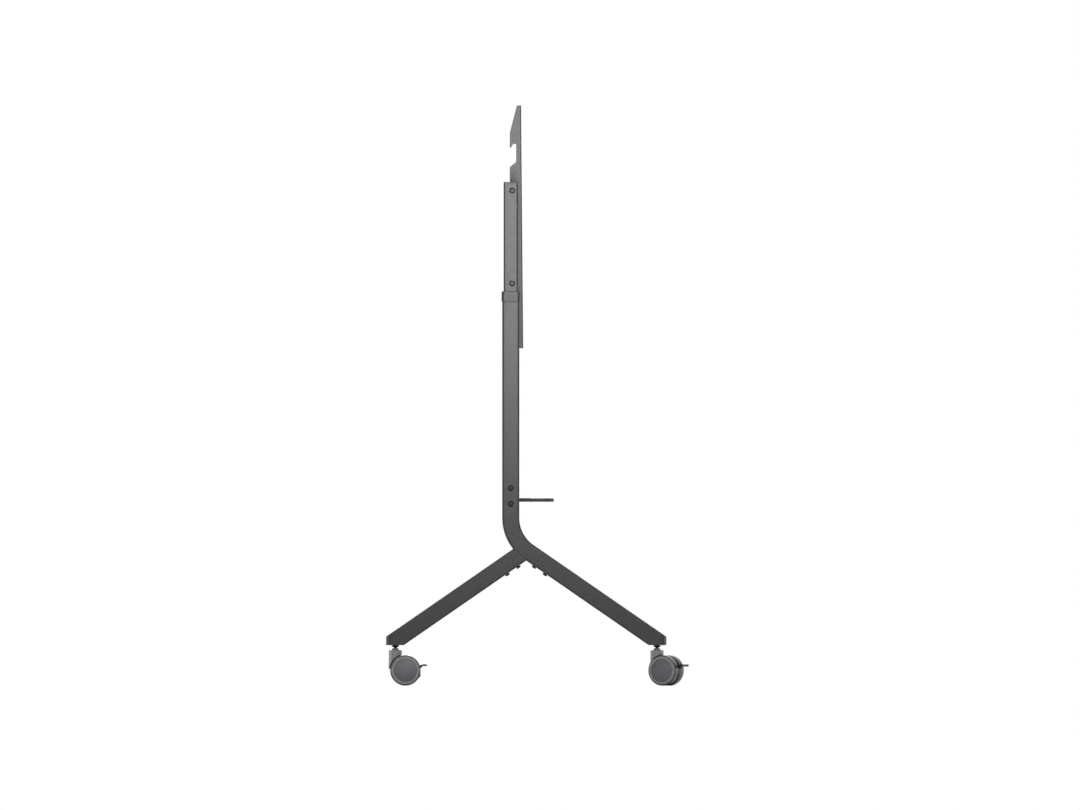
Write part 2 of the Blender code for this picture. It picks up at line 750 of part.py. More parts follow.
def hook_seat(seat):
    """The notch of one hook from its tongue's tip forward, as (forward, height) points."""
    front = RAIL_FRONT + GAP
    radius = HOOK_RADIUS
    points = [(HOOK_BACK, seat - HOOK_TONGUE), (HOOK_BACK + HOOK_NOSE, seat - HOOK_TONGUE)]
    for centre, first in ((HOOK_MOUTH_BACK + radius, 180), (front - radius, 90)):
        for step in range(RAIL_STEPS + 1):
            angle = math.radians(first - 90 * step / RAIL_STEPS)
            points.append((
                centre + radius * math.cos(angle), seat - radius + radius * math.sin(angle)
            ))
    return points


def arm_front(z):
    """How far forward the arm's face is at a height below its top. It leans out slightly."""
    return ARM_TOP_FRONT + (ARM_BOTTOM_FRONT - ARM_TOP_FRONT) * -z / ARM_LENGTH


def arm_web():
    """Side outline of an arm: a slanted top, a spare hook, a shoulder and the hook in use.
    Height zero is the arm's top."""
    seat = -ARM_HANG
    spare = seat + HOOK_PITCH
    front = RAIL_FRONT + GAP
    shoulder = spare - HOOK_PITCH / 2 - HOOK_SHOULDER / 2
    outline = [(ARM_TOP_FRONT, 0), (ARM_TOP_FRONT - ARM_TOP_DEPTH, 0), (HOOK_BACK, -ARM_TAPER)]
    outline += hook_seat(spare)
    outline += [(front, shoulder + HOOK_SHOULDER), (HOOK_BACK, shoulder)]
    outline += hook_seat(seat)
    outline += [(front, -ARM_LENGTH), (ARM_BOTTOM_FRONT, -ARM_LENGTH)]
    return outline


def display_arm():
    """Folded steel arm: two hooked webs joined by a slotted front flange and a short foot."""
    half = ARM_WIDTH / 2
    sheet = ARM_SHEET
    arm = prism("arm", arm_web(), -half, sheet - half)
    join(arm, prism("second_web", arm_web(), half - sheet, half))
    flange = [
        (arm_front(0) - sheet, 0), (arm_front(0), 0),
        (ARM_BOTTOM_FRONT, -ARM_LENGTH), (ARM_BOTTOM_FRONT - sheet, -ARM_LENGTH),
    ]
    join(arm, prism("flange", flange, sheet / 2 - half, half - sheet / 2))
    foot_back = RAIL_FRONT + 2 * sheet
    foot = [
        (foot_back, -ARM_LENGTH), (ARM_BOTTOM_FRONT - sheet / 2, -ARM_LENGTH),
        (ARM_BOTTOM_FRONT - sheet / 2, sheet - ARM_LENGTH), (foot_back, sheet - ARM_LENGTH),
    ]
    join(arm, prism("foot", foot, sheet / 2 - half, half - sheet / 2))
    for number in range(SLOT_COUNT):
        cut(arm, display_slot(-SLOT_TOP - number * SLOT_PITCH))
    return arm


def display_slot(top):
    """A round-ended upright slot through the arm's front flange."""
    radius = SLOT_WIDTH / 2
    outline = []
    for centre, first in ((top - radius, 0), (top - SLOT_LENGTH + radius, 180)):
        for step in range(2 * RAIL_STEPS + 1):
            angle = math.radians(first + 90 * step / RAIL_STEPS)
            outline.append((radius * math.cos(angle), centre + radius * math.sin(angle)))
    bm = bmesh.new()
    start = arm_front(top) - 3 * ARM_SHEET
    face = bm.faces.new([bm.verts.new((x, -start, z)) for x, z in outline])
    made = bmesh.ops.extrude_face_region(bm, geom=[face])["geom"]
    far = [item for item in made if isinstance(item, bmesh.types.BMVert)]
    bmesh.ops.translate(bm, verts=far, vec=(0, -6 * ARM_SHEET, 0))
    return piece_from("display_slot", bm)


def button_screw(name, head, length):
    """Domed head with a hexagonal socket. It points along +Z, and the head's seat is at zero."""
    head_radius, height, shank, socket = head
    profile = [
        (0, -length), (shank, -length), (shank, 0), (head_radius, 0),
        (head_radius, height * 0.35), (head_radius * 0.72, height), (socket, height),
        (socket, height - SOCKET_DEPTH), (0, height - SOCKET_DEPTH),
    ]
    screw = turned(name, profile, SCREW_SIDES)
    for vert in screw.data.vertices:
        radius = math.hypot(vert.co.x, vert.co.y)
        step = round(math.atan2(vert.co.y, vert.co.x) / math.radians(30))
        if abs(radius - socket) < MERGE and step % 2:
            vert.co.x *= math.cos(math.radians(30))
            vert.co.y *= math.cos(math.radians(30))
    return screw


def pointed(screw, direction):
    """Turns a screw's mesh so that its head faces a direction."""
    turn = Vector(direction).to_track_quat("Z", "X").to_matrix().to_4x4()
    screw.data = screw.data.copy()
    screw.data.transform(turn)
    return screw


def caster_stem():
    """Steel stem: a pin up into the leg, a flange under it and a neck down into the hood.
    Height zero is the flange's top."""
    flange = -STEM_FLANGE_HEIGHT
    cone = flange - STEM_CONE_HEIGHT
    profile = [
        (0, cone - STEM_NECK_LENGTH), (STEM_NECK_RADIUS, cone - STEM_NECK_LENGTH),
        (STEM_NECK_RADIUS, cone), (STEM_FLANGE_RADIUS, flange), (STEM_FLANGE_RADIUS, 0),
        (STEM_PIN_RADIUS, 0), (STEM_PIN_RADIUS, STEM_PIN_LENGTH), (0, STEM_PIN_LENGTH),
    ]
    return turned("caster_stem", profile, STEM_SIDES)


def stem_bottom():
    """Height of the stem's lower end above the floor."""
    return CASTER_HEIGHT - GAP - STEM_FLANGE_HEIGHT - STEM_CONE_HEIGHT - STEM_NECK_LENGTH


def web_outline():
    """Side outline of the housing's middle web, as (forward, height) points."""
    side = HOOD_RADIUS - 0.002
    top = HOOD_SHOULDER_Z - 0.006
    points = [(side, top), (-side, top), (-side, AXLE_Z + WEB_RADIUS / 2)]
    for degrees in range(170, 301, 13):
        angle = math.radians(degrees)
        points.append((TRAIL + WEB_RADIUS * math.cos(angle), AXLE_Z + WEB_RADIUS * math.sin(angle)))
    pivot_forward, pivot_z = PEDAL_PIVOT
    points += [
        (BUMPER_REACH - 0.0045, AXLE_Z - 0.0195), (BUMPER_REACH, AXLE_Z - 0.0135),
        (BUMPER_REACH, pivot_z - 0.0030), (pivot_forward + 0.0030, pivot_z + 0.0042),
        (pivot_forward - 0.0040, pivot_z + 0.0060),
    ]
    for degrees in (45, 62, 79, 96):
        angle = math.radians(degrees)
        points.append((TRAIL + WEB_RADIUS * math.cos(angle), AXLE_Z + WEB_RADIUS * math.sin(angle)))
    return points


def caster_housing():
    """Nylon housing: a domed hood round the stem, cut clear of the wheels, with a middle
    web, a pressed-in axle and two cheeks that hold the pedal. Zero is on the stem's axis."""
    bore = STEM_NECK_RADIUS + BOLT_CLEARANCE
    bore_bottom = stem_bottom() - GAP
    profile = [
        (0, bore_bottom), (bore, bore_bottom), (bore, HOOD_BOSS_TOP_Z),
        (HOOD_BOSS_RADIUS, HOOD_BOSS_TOP_Z), (HOOD_BOSS_RADIUS + 0.0014, HOOD_SHOULDER_Z),
        (HOOD_RADIUS - 0.001, HOOD_SHOULDER_Z), (HOOD_RADIUS, HOOD_SHOULDER_Z - 0.001),
        (HOOD_SKIRT_RADIUS, HOOD_SKIRT_Z), (0, HOOD_SKIRT_Z),
    ]
    housing = turned("caster_housing", profile, HOOD_SIDES)
    reach = WHEEL_GAP / 2 + WHEEL_WIDTH
    cut(housing, rod(
        "wheel_space", WHEEL_RADIUS + HOOD_WHEEL_CLEARANCE,
        (-2 * reach, -TRAIL, AXLE_Z), (2 * reach, -TRAIL, AXLE_Z), 2 * HOOD_SIDES,
    ))
    half = WEB_THICKNESS / 2
    join(housing, prism("web", web_outline(), -half, half))
    axle = reach - ARM_SHEET - GAP
    join(housing, rod(
        "axle", AXLE_RADIUS, (-axle, -TRAIL, AXLE_Z), (axle, -TRAIL, AXLE_Z), STEM_SIDES
    ))
    cut(housing, rod("stem_bore", bore, (0, 0, bore_bottom), (0, 0, HOOD_BOSS_TOP_Z), HOOD_SIDES))
    forward, z = PEDAL_PIVOT
    slot = PEDAL_HUB_WIDTH / 2 + GAP
    room = PEDAL_HUB_RADIUS + GAP
    cut(housing, box("pedal_slot", (-slot, forward - room, z - room), (slot, 2 * forward, 2 * z)))
    cut(housing, rod(
        "pedal_pin_hole", PEDAL_PIN_RADIUS + BOLT_CLEARANCE,
        (-WEB_THICKNESS, -forward, z), (WEB_THICKNESS, -forward, z), SCREW_SIDES,
    ))
    return housing


def caster_wheel():
    """One wheel of a pair: domed disc, rim ring, tread and a hub with a blind bore. Its
    axis is X, zero is midway between the pair, and it lies on the +X side."""
    inner = WHEEL_GAP / 2
    outer = inner + WHEEL_WIDTH
    bore = AXLE_RADIUS + 2 * BOLT_CLEARANCE
    tread = WHEEL_RADIUS - TREAD_WALL
    disc = WHEEL_RADIUS - RIM_RING
    profile = [
        (0, outer - 0.0006), (disc - 0.0004, outer - 0.0020),
        (disc, outer), (WHEEL_RADIUS - 0.0028, outer - 0.0003),
        (WHEEL_RADIUS, outer - 0.0036), (WHEEL_RADIUS, inner),
        (tread + 0.0010, inner), (tread, outer - 0.0070),
        (HUB_RADIUS + 0.0006, outer - 0.0060), (HUB_RADIUS, inner), (bore, inner),
        (bore, outer - ARM_SHEET), (0, outer - ARM_SHEET),
    ]
    wheel = turned("caster_wheel", profile, WHEEL_SIDES)
    flat = math.pi / WHEEL_SIDES
    wheel.data.transform(
        Matrix.Rotation(math.radians(90), 4, "Y") @ Matrix.Rotation(flat, 4, "Z")
    )
    return wheel


def brake_pedal():
    """Pedal: a wide tongue in front of the wheels on a narrow neck with its pivot pin. Zero
    is on the pivot."""
    forward, z = PEDAL_PIVOT
    reach = PEDAL_REACH - forward
    start = BUMPER_REACH + 0.0012 - forward
    top = 0.0062
    sheet = PEDAL_SHEET
    tongue = [
        (start, -0.0010), (start + 0.0040, top - sheet - 0.0006), (start + 0.0080, top - sheet),
        (reach, top - sheet - 0.0008), (reach, top - 0.0010), (start + 0.0080, top),
        (start + 0.0030, top - 0.0006), (start, top - 0.0024),
    ]
    pedal = prism("brake_pedal", tongue, -PEDAL_WIDTH / 2, PEDAL_WIDTH / 2)
    bm = bmesh.new()
    bm.from_mesh(pedal.data)
    tips = [
        edge for edge in bm.edges
        if all(vert.co.y < -reach + MERGE and abs(vert.co.x) > PEDAL_WIDTH / 3 for vert in edge.verts)
        and abs(edge.verts[0].co.x - edge.verts[1].co.x) < MERGE
    ]
    bmesh.ops.bevel(bm, geom=tips, offset=PEDAL_CORNER, segments=3, profile=0.5, affect="EDGES")
    bm.to_mesh(pedal.data)
    bm.free()
    neck = [
        (-0.0020, -0.0030), (0.0, -0.0036), (start + 0.0010, -0.0008),
        (start + 0.0010, top - 0.0028), (0.0, 0.0036), (-0.0020, 0.0030),
    ]
    join(pedal, prism("neck", neck, -PEDAL_NECK / 2, PEDAL_NECK / 2))
    half = PEDAL_HUB_WIDTH / 2
    join(pedal, rod("hub", PEDAL_HUB_RADIUS, (-half, 0, 0), (half, 0, 0), SCREW_SIDES))
    pin = WEB_THICKNESS / 2 - GAP
    join(pedal, rod("pin", PEDAL_PIN_RADIUS, (-pin, 0, 0), (pin, 0, 0), SCREW_SIDES))
    return pedal


def place_pair(make, name, coat, parent, y, z, mirrored=False):
    """A piece at each post's centre line. A mirrored one is made for each side."""
    for label, side in SIDES.items():
        if mirrored:
            piece = make(side)
            piece.name = f"{name}_{label}"
        elif label == "left":
            piece = first = make()
            piece.name = f"{name}_{label}"
        else:
            piece = copy_of(first, f"{name}_{label}")
        settle(piece, parent, (side * POST_SPACING / 2, y, z), coat)


def place_screws(name, screw, coat, parent, places):
    """Copies of one screw. Places maps a label to (direction of the head, location)."""
    for label, (direction, location) in places.items():
        piece = pointed(copy_of(screw, f"{name}_{label}"), direction)
        settle(piece, parent, location, coat)
    bpy.data.objects.remove(screw)


def build_base(steel, zinc, nylon):
    """Everything that stands still on the casters: posts, legs, crossbar and shelf."""
    base = anchor("base", None, (0, 0, 0))
    place_pair(post_leg, "post_leg", steel, base, POST_Y, 0, mirrored=True)
    place_pair(rear_leg, "rear_leg", steel, base, POST_Y, 0)
    place_pair(collar, "collar", nylon, base, POST_Y, POST_TOP_Z)
    place_pair(apex_bracket, "apex_bracket", zinc, base, APEX_Y, 0)
    front_end = leg_end()
    for label, side in SIDES.items():
        front = copy_of(front_end, f"leg_end_front_{label}")
        settle(front, base, (side * POST_SPACING / 2, APEX_Y, 0), steel)
        rear = copy_of(front_end, f"leg_end_rear_{label}")
        settle(rear, base, (side * POST_SPACING / 2, APEX_Y, 0), steel)
        rear.rotation_euler = (0, 0, math.pi)
    bpy.data.objects.remove(front_end)
    bar = crossbar()
    settle(bar, base, (0, POST_Y, CROSSBAR_Z), steel)
    settle(shelf(), base, (0, POST_Y, SHELF_TOP_Z), steel)
    place_base_screws(base, zinc)
    return base


def place_base_screws(base, zinc):
    post_outside = POST_SPACING / 2 + POST_WIDTH / 2 + GAP
    bar_end = POST_SPACING / 2 - POST_WIDTH / 2 - GAP - END_PLATE
    length = post_outside - bar_end + THREAD_PAST_PLATE
    places = {}
    for label, side in SIDES.items():
        for height, level in (("upper", 1), ("lower", -1)):
            z = CROSSBAR_Z + level * CROSSBAR_BOLT_PITCH / 2
            places[f"{height}_{label}"] = ((side, 0, 0), (side * post_outside, POST_Y, z))
    place_screws(
        "crossbar_bolt", button_screw("bolt", BOLT_HEAD, length), zinc, base, places
    )
    length = POST_WALL + 2 * GAP + BRACKET_SHEET + THREAD_PAST_PLATE / 2
    places = {}
    for label, side in SIDES.items():
        for leg, facing in (("front", 1), ("rear", -1)):
            for number, order in enumerate(("upper", "lower")):
                forward, z = screw_axis(facing, number, -GAP)
                down = (0, facing * math.sin(LEG_ANGLE), -math.cos(LEG_ANGLE))
                places[f"{leg}_{order}_{label}"] = (
                    down, (side * POST_SPACING / 2, APEX_Y - forward, z)
                )
    place_screws("leg_screw", button_screw("screw", SCREW_HEAD, length), zinc, base, places)
    nut_face = POST_SPACING / 2 - POST_WIDTH / 2 - CLAMP_NUT_HEIGHT - GAP
    tube_face = POST_SPACING / 2 - INNER_WIDTH / 2 - GAP
    places = {
        label: ((-side, 0, 0), (side * nut_face, POST_Y, CLAMP_Z))
        for label, side in SIDES.items()
    }
    clamp = button_screw("clamp", BOLT_HEAD, tube_face - nut_face)
    place_screws("clamp_screw", clamp, zinc, base, places)


def build_lift(base, steel, zinc, nylon):
    """The telescopic upper frame, which slides up and down in the posts."""
    lift = anchor("lift", base, (0, POST_Y, INNER_TOP_Z))
    place_pair(inner_tube, "inner_tube", steel, lift, 0, 0)
    place_pair(tube_cap, "tube_cap", nylon, lift, 0, 0)
    upper = rail()
    upper.name = "upper_rail"
    lower = copy_of(upper, "lower_rail")
    rail_z = UPPER_RAIL_TOP_Z - INNER_TOP_Z
    settle(upper, lift, (0, 0, rail_z), steel, smooth=False)
    settle(lower, lift, (0, 0, rail_z - LOWER_RAIL_DROP), steel, smooth=False)
    tube_outside = POST_SPACING / 2 + INNER_WIDTH / 2 + GAP
    rail_end = POST_SPACING / 2 - INNER_WIDTH / 2 - GAP
    length = tube_outside - rail_end + RAIL_BLOCK - 1.5 * RAIL_BLOCK_FLOOR
    places = {}
    for label, side in SIDES.items():
        for height, drop in (("upper", 0), ("lower", LOWER_RAIL_DROP)):
            z = rail_z - RAIL_BOLT[1] - drop
            places[f"{height}_{label}"] = (
                (side, 0, 0), (side * tube_outside, -RAIL_BOLT[0], z)
            )
    place_screws("rail_bolt", button_screw("bolt", BOLT_HEAD, length), zinc, lift, places)
    return lift


def build_arms(lift, steel):
    """The two arms that hang on the upper rail and carry the display."""
    arm_top = UPPER_RAIL_TOP_Z + GAP + ARM_HANG - INNER_TOP_Z
    first = display_arm()
    for label, side in SIDES.items():
        arm = copy_of(first, f"display_arm_{label}")
        settle(arm, lift, (side * ARM_SPACING / 2, 0, arm_top), steel, smooth=False)
    bpy.data.objects.remove(first)


def build_casters(base, zinc, nylon, tyre):
    """Four braked twin-wheel casters, each on an anchor at its stem's axis."""
    stem = caster_stem()
    housing = caster_housing()
    wheel = caster_wheel()
    pedal = brake_pedal()
    for end, facing, swivel in (("front", 1, FRONT_SWIVEL), ("rear", -1, 0.0)):
        for label, side in SIDES.items():
            name = f"{end}_{label}"
            x = side * POST_SPACING / 2
            y = APEX_Y - facing * (LEG_REACH - STEM_INSET)
            settle(copy_of(stem, f"caster_stem_{name}"), base, (x, y, CASTER_HEIGHT - GAP), zinc)
            caster = anchor(f"caster_{name}", base, (x, y, 0), side * swivel)
            settle(copy_of(housing, f"caster_housing_{name}"), caster, (0, 0, 0), nylon)
            for hand, turn in (("right", 0.0), ("left", math.pi)):
                half = settle(
                    copy_of(wheel, f"caster_wheel_{name}_{hand}"), caster, (0, -TRAIL, AXLE_Z), tyre
                )
                half.rotation_euler = (0, 0, turn)
            forward, z = PEDAL_PIVOT
            settle(copy_of(pedal, f"brake_pedal_{name}"), caster, (0, -forward, z), zinc)
    for pattern in (stem, housing, wheel, pedal):
        bpy.data.objects.remove(pattern)


def build():
    clear_scene()
    steel = powder_coated_steel()
    zinc = black_zinc_steel()
    base = build_base(steel, zinc, collar_nylon())
    lift = build_lift(base, steel, zinc, collar_nylon())
    build_arms(lift, steel)
    build_casters(base, zinc, caster_nylon(), wheel_polyurethane())


build()
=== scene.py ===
"""Looks of the mobile display floor stand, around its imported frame."""

import json
import math

import bmesh
import bpy
from mathutils import Matrix, Vector


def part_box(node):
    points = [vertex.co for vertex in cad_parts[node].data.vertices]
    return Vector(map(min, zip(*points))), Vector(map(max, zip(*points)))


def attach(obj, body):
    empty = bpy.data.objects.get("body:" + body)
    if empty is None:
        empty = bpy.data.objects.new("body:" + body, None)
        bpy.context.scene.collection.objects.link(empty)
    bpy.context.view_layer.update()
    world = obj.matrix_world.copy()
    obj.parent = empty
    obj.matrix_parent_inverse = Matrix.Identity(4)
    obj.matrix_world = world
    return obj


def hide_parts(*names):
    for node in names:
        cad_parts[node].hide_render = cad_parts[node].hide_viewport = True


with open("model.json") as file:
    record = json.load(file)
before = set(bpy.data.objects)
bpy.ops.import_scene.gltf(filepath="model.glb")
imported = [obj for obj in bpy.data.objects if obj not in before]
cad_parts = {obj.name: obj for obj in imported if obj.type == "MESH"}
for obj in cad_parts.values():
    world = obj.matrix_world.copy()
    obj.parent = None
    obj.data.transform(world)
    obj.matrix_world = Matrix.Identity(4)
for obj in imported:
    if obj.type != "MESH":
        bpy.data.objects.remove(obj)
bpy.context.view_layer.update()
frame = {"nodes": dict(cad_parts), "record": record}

# Sizes of the stand, in metres
SEAM = 0.0003             # between pieces that touch
JOINT = 0.00003           # between a leg's tube and its end, which light must not shine through
SPARE = 0.01              # of a cutting shape past what it cuts
NEAR = 0.0001             # how far off its place a picked corner or edge may lie
POST_DEPTH = 0.042
POST_WIDTH = 0.030
POST_CORNER = 0.0052
POST_TOP_Z = 0.948
TUBE_WALL = 0.002
BEND_RADIUS = 0.100
LEG_SLOPE = math.radians(34.62)
LEG_TO_POST = 0.0377      # from the plane between the legs back to the post
LEG_REACH = 0.3422
FOOT_Z = 0.0989           # the leg ends' flat undersides
NOSE_HEIGHT = 0.0209
LEG_END_LENGTH = 0.0357
LEG_END_EDGE = 0.0025
LEG_END_PLUG = 0.030
NUT_RADIUS = 0.009
NUT_HEIGHT = 0.006
CLAMP_Z = 0.898

INNER_DEPTH = 0.035
INNER_WIDTH = 0.023
INNER_CORNER = 0.0042
INNER_LENGTH = 0.670
CAP_HEAD = 0.003
CAP_PLUG = 0.014
COLLAR_LIP = 0.0015
COLLAR_TAPER = 0.0018     # height of its lower edge, which runs in to the post
COLLAR_PLAY = 0.0009      # of that edge round the post, both sides together
COLLAR_LOW_Z = 0.9358
COLLAR_TOP_Z = 0.9623

RAIL_BACK = -0.0060       # forward of the posts' centre line, so behind it
RAIL_FRONT = 0.0127
RAIL_HEIGHT = 0.0270
RAIL_SHEET = 0.0025
RAIL_FOLD = 0.0032
RAIL_HEM = 0.012
RAIL_BLOCK = 0.010

ARM_LENGTH = 0.5926
ARM_WIDTH = 0.032
ARM_SHEET = 0.002
ARM_FOLD = 0.0030
ARM_TOP_FRONT = 0.0252    # forward of the posts' centre line
ARM_BOTTOM_FRONT = 0.0304
ARM_TOP_DEPTH = 0.0105
ARM_TAPER = 0.0671
ARM_HANG = 0.1942         # from the arm's top down to the seat of the hook in use
HOOK_PITCH = 0.100
HOOK_BACK = -0.0025
HOOK_TONGUE = 0.0104
MOUTH_BACK = 0.0047
MOUTH_FRONT = 0.0130
MOUTH_RADIUS = 0.0022
HOOK_SHOULDER = 0.0122
SLOT_WIDTH = 0.0085
SLOT_LENGTH = 0.080
SLOT_PITCH = 0.140
SLOT_TOP = 0.055

SHELF_SHEET = 0.002
SHELF_FOLD = 0.0062
SHELF_UPSTAND = 0.028
SHELF_CORNER = 0.027
SHELF_RIM = 0.009
SHELF_LEAN = 0.0020       # of the rim, inwards from the top down to its edge
SHELF_BACK = 0.0173       # front of the upstand, forward of the posts' centre line

WHEEL_WIDTH = 0.0203
WHEEL_GAP = 0.0110
TRAIL = 0.0243
AXLE_RADIUS = 0.0040
HUB_RADIUS = 0.0075
RIM_RING = 0.0085
HOOD_RADIUS = 0.0160
HOOD_SKIRT_RADIUS = 0.0168
HOOD_SHOULDER_Z = 0.0868
HOOD_TOP_Z = 0.0916
HOOD_TOP_RADIUS = 0.0072
HOOD_SKIRT_Z = 0.0396
HOOD_EDGE = 0.0016
WHEEL_CLEARANCE = 0.0027  # between the tread and the hood
WEB_HALF = 0.0048
WEB_RADIUS = 0.0320
BUMPER_REACH = 0.0614
PEDAL_REACH = 0.0570      # from the stem's axis to the pedal's pivot
PEDAL_Z = 0.0460
PEDAL_LENGTH = 0.0210
PEDAL_WIDTH = 0.040
FRONT_SWIVEL = math.radians(25.0)
BOLT_HEAD_HEIGHT = 0.004
SIDES = {"left": -1, "right": 1}

# Places that the frame gives
POST_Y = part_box("post_leg_left")[1].y - POST_DEPTH / 2
POST_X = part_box("post_leg_right")[1].x - POST_WIDTH / 2
APEX_Y = POST_Y - LEG_TO_POST
INNER_TOP_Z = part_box("inner_tube_left")[1].z
ARM_TOP_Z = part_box("display_arm_left")[1].z
ARM_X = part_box("display_arm_right")[1].x - ARM_WIDTH / 2
AXLE_Z = sum(c.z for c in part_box("caster_wheel_rear_left_left")) / 2
WHEEL_RADIUS = AXLE_Z
LEG_TOP_Z = FOOT_Z + NOSE_HEIGHT + LEG_REACH * math.tan(LEG_SLOPE)
LEG_AXIS_Z = LEG_TOP_Z - POST_DEPTH / 2 / math.cos(LEG_SLOPE)
APEX_Z = LEG_TOP_Z - POST_DEPTH / math.cos(LEG_SLOPE)
BEND_ANGLE = math.radians(90) - LEG_SLOPE
BEND_END = BEND_RADIUS * (1 - math.cos(BEND_ANGLE)) - LEG_TO_POST
BEND_Z = LEG_AXIS_Z - BEND_END * math.tan(LEG_SLOPE) + BEND_RADIUS * math.sin(BEND_ANGLE)
ALONG_LEG = Vector((0, -math.cos(LEG_SLOPE), -math.sin(LEG_SLOPE)))  # down the front leg
OFF_LEG = Vector((0, -math.sin(LEG_SLOPE), math.cos(LEG_SLOPE)))     # square up from it


# Modelling by hand

def work_on(piece):
    """Selects one piece alone and makes it the active one."""
    bpy.ops.object.select_all(action="DESELECT")
    piece.select_set(True)
    bpy.context.view_layer.objects.active = piece


def added(name):
    """Names the primitive that was just added, with its size made part of its mesh."""
    piece = bpy.context.object
    work_on(piece)
    bpy.ops.object.transform_apply(location=True, rotation=True, scale=True)
    piece.name = name
    piece.data.name = name
    return piece


def block(name, low, high):
    """A block between two corners, ready to be shaped."""
    low, high = Vector(low), Vector(high)
    bpy.ops.mesh.primitive_cube_add(size=1, location=(low + high) / 2)
    bpy.context.object.scale = high - low
    return added(name)


def rod(name, radius, start, end, sides=32):
    """A round or many-sided bar between two points on its axis, ready to be shaped."""
    start, end = Vector(start), Vector(end)
    bpy.ops.mesh.primitive_cylinder_add(
        vertices=sides, radius=radius, depth=(end - start).length, location=(start + end) / 2
    )
    bpy.context.object.rotation_euler = (end - start).to_track_quat("Z", "Y").to_euler()
    return added(name)


def rounded_plate(name, width, depth, corner, steps=6):
    """A flat face with rounded corners, width along X and depth along Y, at the origin."""
    bpy.ops.mesh.primitive_plane_add(size=1)
    bpy.context.object.scale = (width, depth, 1)
    plate = added(name)
    with editing(plate):
        bpy.ops.mesh.bevel(offset=corner, segments=steps, affect="VERTICES")
    return plate


class editing:
    """Edit mode on one piece, for as long as the block of work takes."""

    def __init__(self, piece):
        self.piece = piece

    def __enter__(self):
        work_on(self.piece)
        bpy.ops.object.mode_set(mode="EDIT")
        bpy.ops.mesh.select_all(action="SELECT")
        return self

    def __exit__(self, *stopped):
        bpy.ops.object.mode_set(mode="OBJECT")

    def pick(self, kind, test):
        """Selects the faces, edges or corners that pass a test, and no others."""
        bpy.ops.mesh.select_mode(type=kind)
        bpy.ops.mesh.select_all(action="DESELECT")
        shape = bmesh.from_edit_mesh(self.piece.data)
        shape.normal_update()
        parts = {"FACE": shape.faces, "EDGE": shape.edges, "VERT": shape.verts}[kind]
        for part in parts:
            if test(part):
                part.select = True
        shape.select_flush_mode()
        bmesh.update_edit_mesh(self.piece.data)


def push(offset):
    """Extrudes what is selected and moves it."""
    bpy.ops.mesh.extrude_region_move(TRANSFORM_OT_translate={"value": tuple(offset)})


def shift(offset):
    """Moves what is selected."""
    bpy.ops.transform.translate(value=tuple(offset))


def round_off(radius, steps):
    """Rounds the edges that are selected."""
    bpy.ops.mesh.bevel(offset=radius, segments=steps, affect="EDGES")


def slice_off(point, outward):
    """Cuts away all that lies outside a plane, and closes the cut."""
    bpy.ops.mesh.select_all(action="SELECT")
    bpy.ops.mesh.bisect(
        plane_co=tuple(point), plane_no=tuple(outward), use_fill=True, clear_outer=True
    )


def score(point, across):
    """Draws a line of edges round the whole piece where a plane meets it."""
    bpy.ops.mesh.select_all(action="SELECT")
    bpy.ops.mesh.bisect(plane_co=tuple(point), plane_no=tuple(across))


def middle(part):
    """The centre of a face or edge."""
    return sum((corner.co for corner in part.verts), Vector()) / len(part.verts)


def runs_along(edge, direction):
    """Whether an edge lies along a direction."""
    line = (edge.verts[1].co - edge.verts[0].co).normalized()
    return abs(line.dot(Vector(direction))) > 0.999


def outward(piece):
    """Merges doubles and turns every face outwards."""
    with editing(piece):
        bpy.ops.mesh.remove_doubles(threshold=0.000005)
        bpy.ops.mesh.normals_make_consistent(inside=False)
    return piece


def skin_outside(sheet, wrong):
    """Turns an open sheet over if one of its faces looks the wrong way."""
    outward(sheet)
    with editing(sheet) as work:
        work.pick("FACE", wrong)
        turned = any(face.select for face in bmesh.from_edit_mesh(sheet.data).faces)
        bpy.ops.mesh.select_all(action="SELECT")
        if turned:
            bpy.ops.mesh.flip_normals()


def smooth(piece):
    """Shades round surfaces smooth and keeps the flat ones beside them flat."""
    steepest = math.radians(32)
    work_on(piece)
    bpy.ops.object.shade_smooth_by_angle(angle=steepest)
    return modified(piece, "WEIGHTED_NORMAL", keep_sharp=True)


def modified(piece, kind, **settings):
    """Adds a modifier, sets it and applies it."""
    work_on(piece)
    step = piece.modifiers.new(kind.title(), kind)
    for name, value in settings.items():
        setattr(step, name, value)
    bpy.ops.object.modifier_apply(modifier=step.name)
    return piece


def combined(piece, tool, operation):
    modified(piece, "BOOLEAN", operation=operation, solver="MANIFOLD", object=tool)
    bpy.data.objects.remove(tool)
    return piece


def cut_out(piece, tool):
    return combined(piece, tool, "DIFFERENCE")


def welded(piece, tool):
    return combined(piece, tool, "UNION")


def thick(piece, wall):
    """Gives a skin its wall, inwards from the skin."""
    return modified(
        piece, "SOLIDIFY", thickness=wall, offset=-1, use_even_offset=True,
        use_quality_normals=True,
    )


def eased(piece, width, steps=2, degrees=35):
    """Rounds every sharp edge a little, as paint and tumbling do."""
    return modified(
        piece, "BEVEL", width=width, segments=steps, limit_method="ANGLE",
        angle_limit=math.radians(degrees), miter_outer="MITER_ARC",
    )


def joined(piece, *others):
    """Makes several shapes one piece."""
    work_on(piece)
    for other in others:
        other.select_set(True)
    bpy.ops.object.join()
    return piece


def moved(piece, matrix):
    """Moves a piece's mesh and leaves its object at the origin."""
    piece.data.transform(matrix)
    if matrix.determinant() < 0:
        piece.data.flip_normals()
    return piece


def twin(piece, name, matrix):
    """A copy with its own mesh, moved to its own place."""
    other = piece.copy()
    other.data = piece.data.copy()
    other.name = name
    other.data.name = name
    bpy.context.scene.collection.objects.link(other)
    return moved(other, matrix)


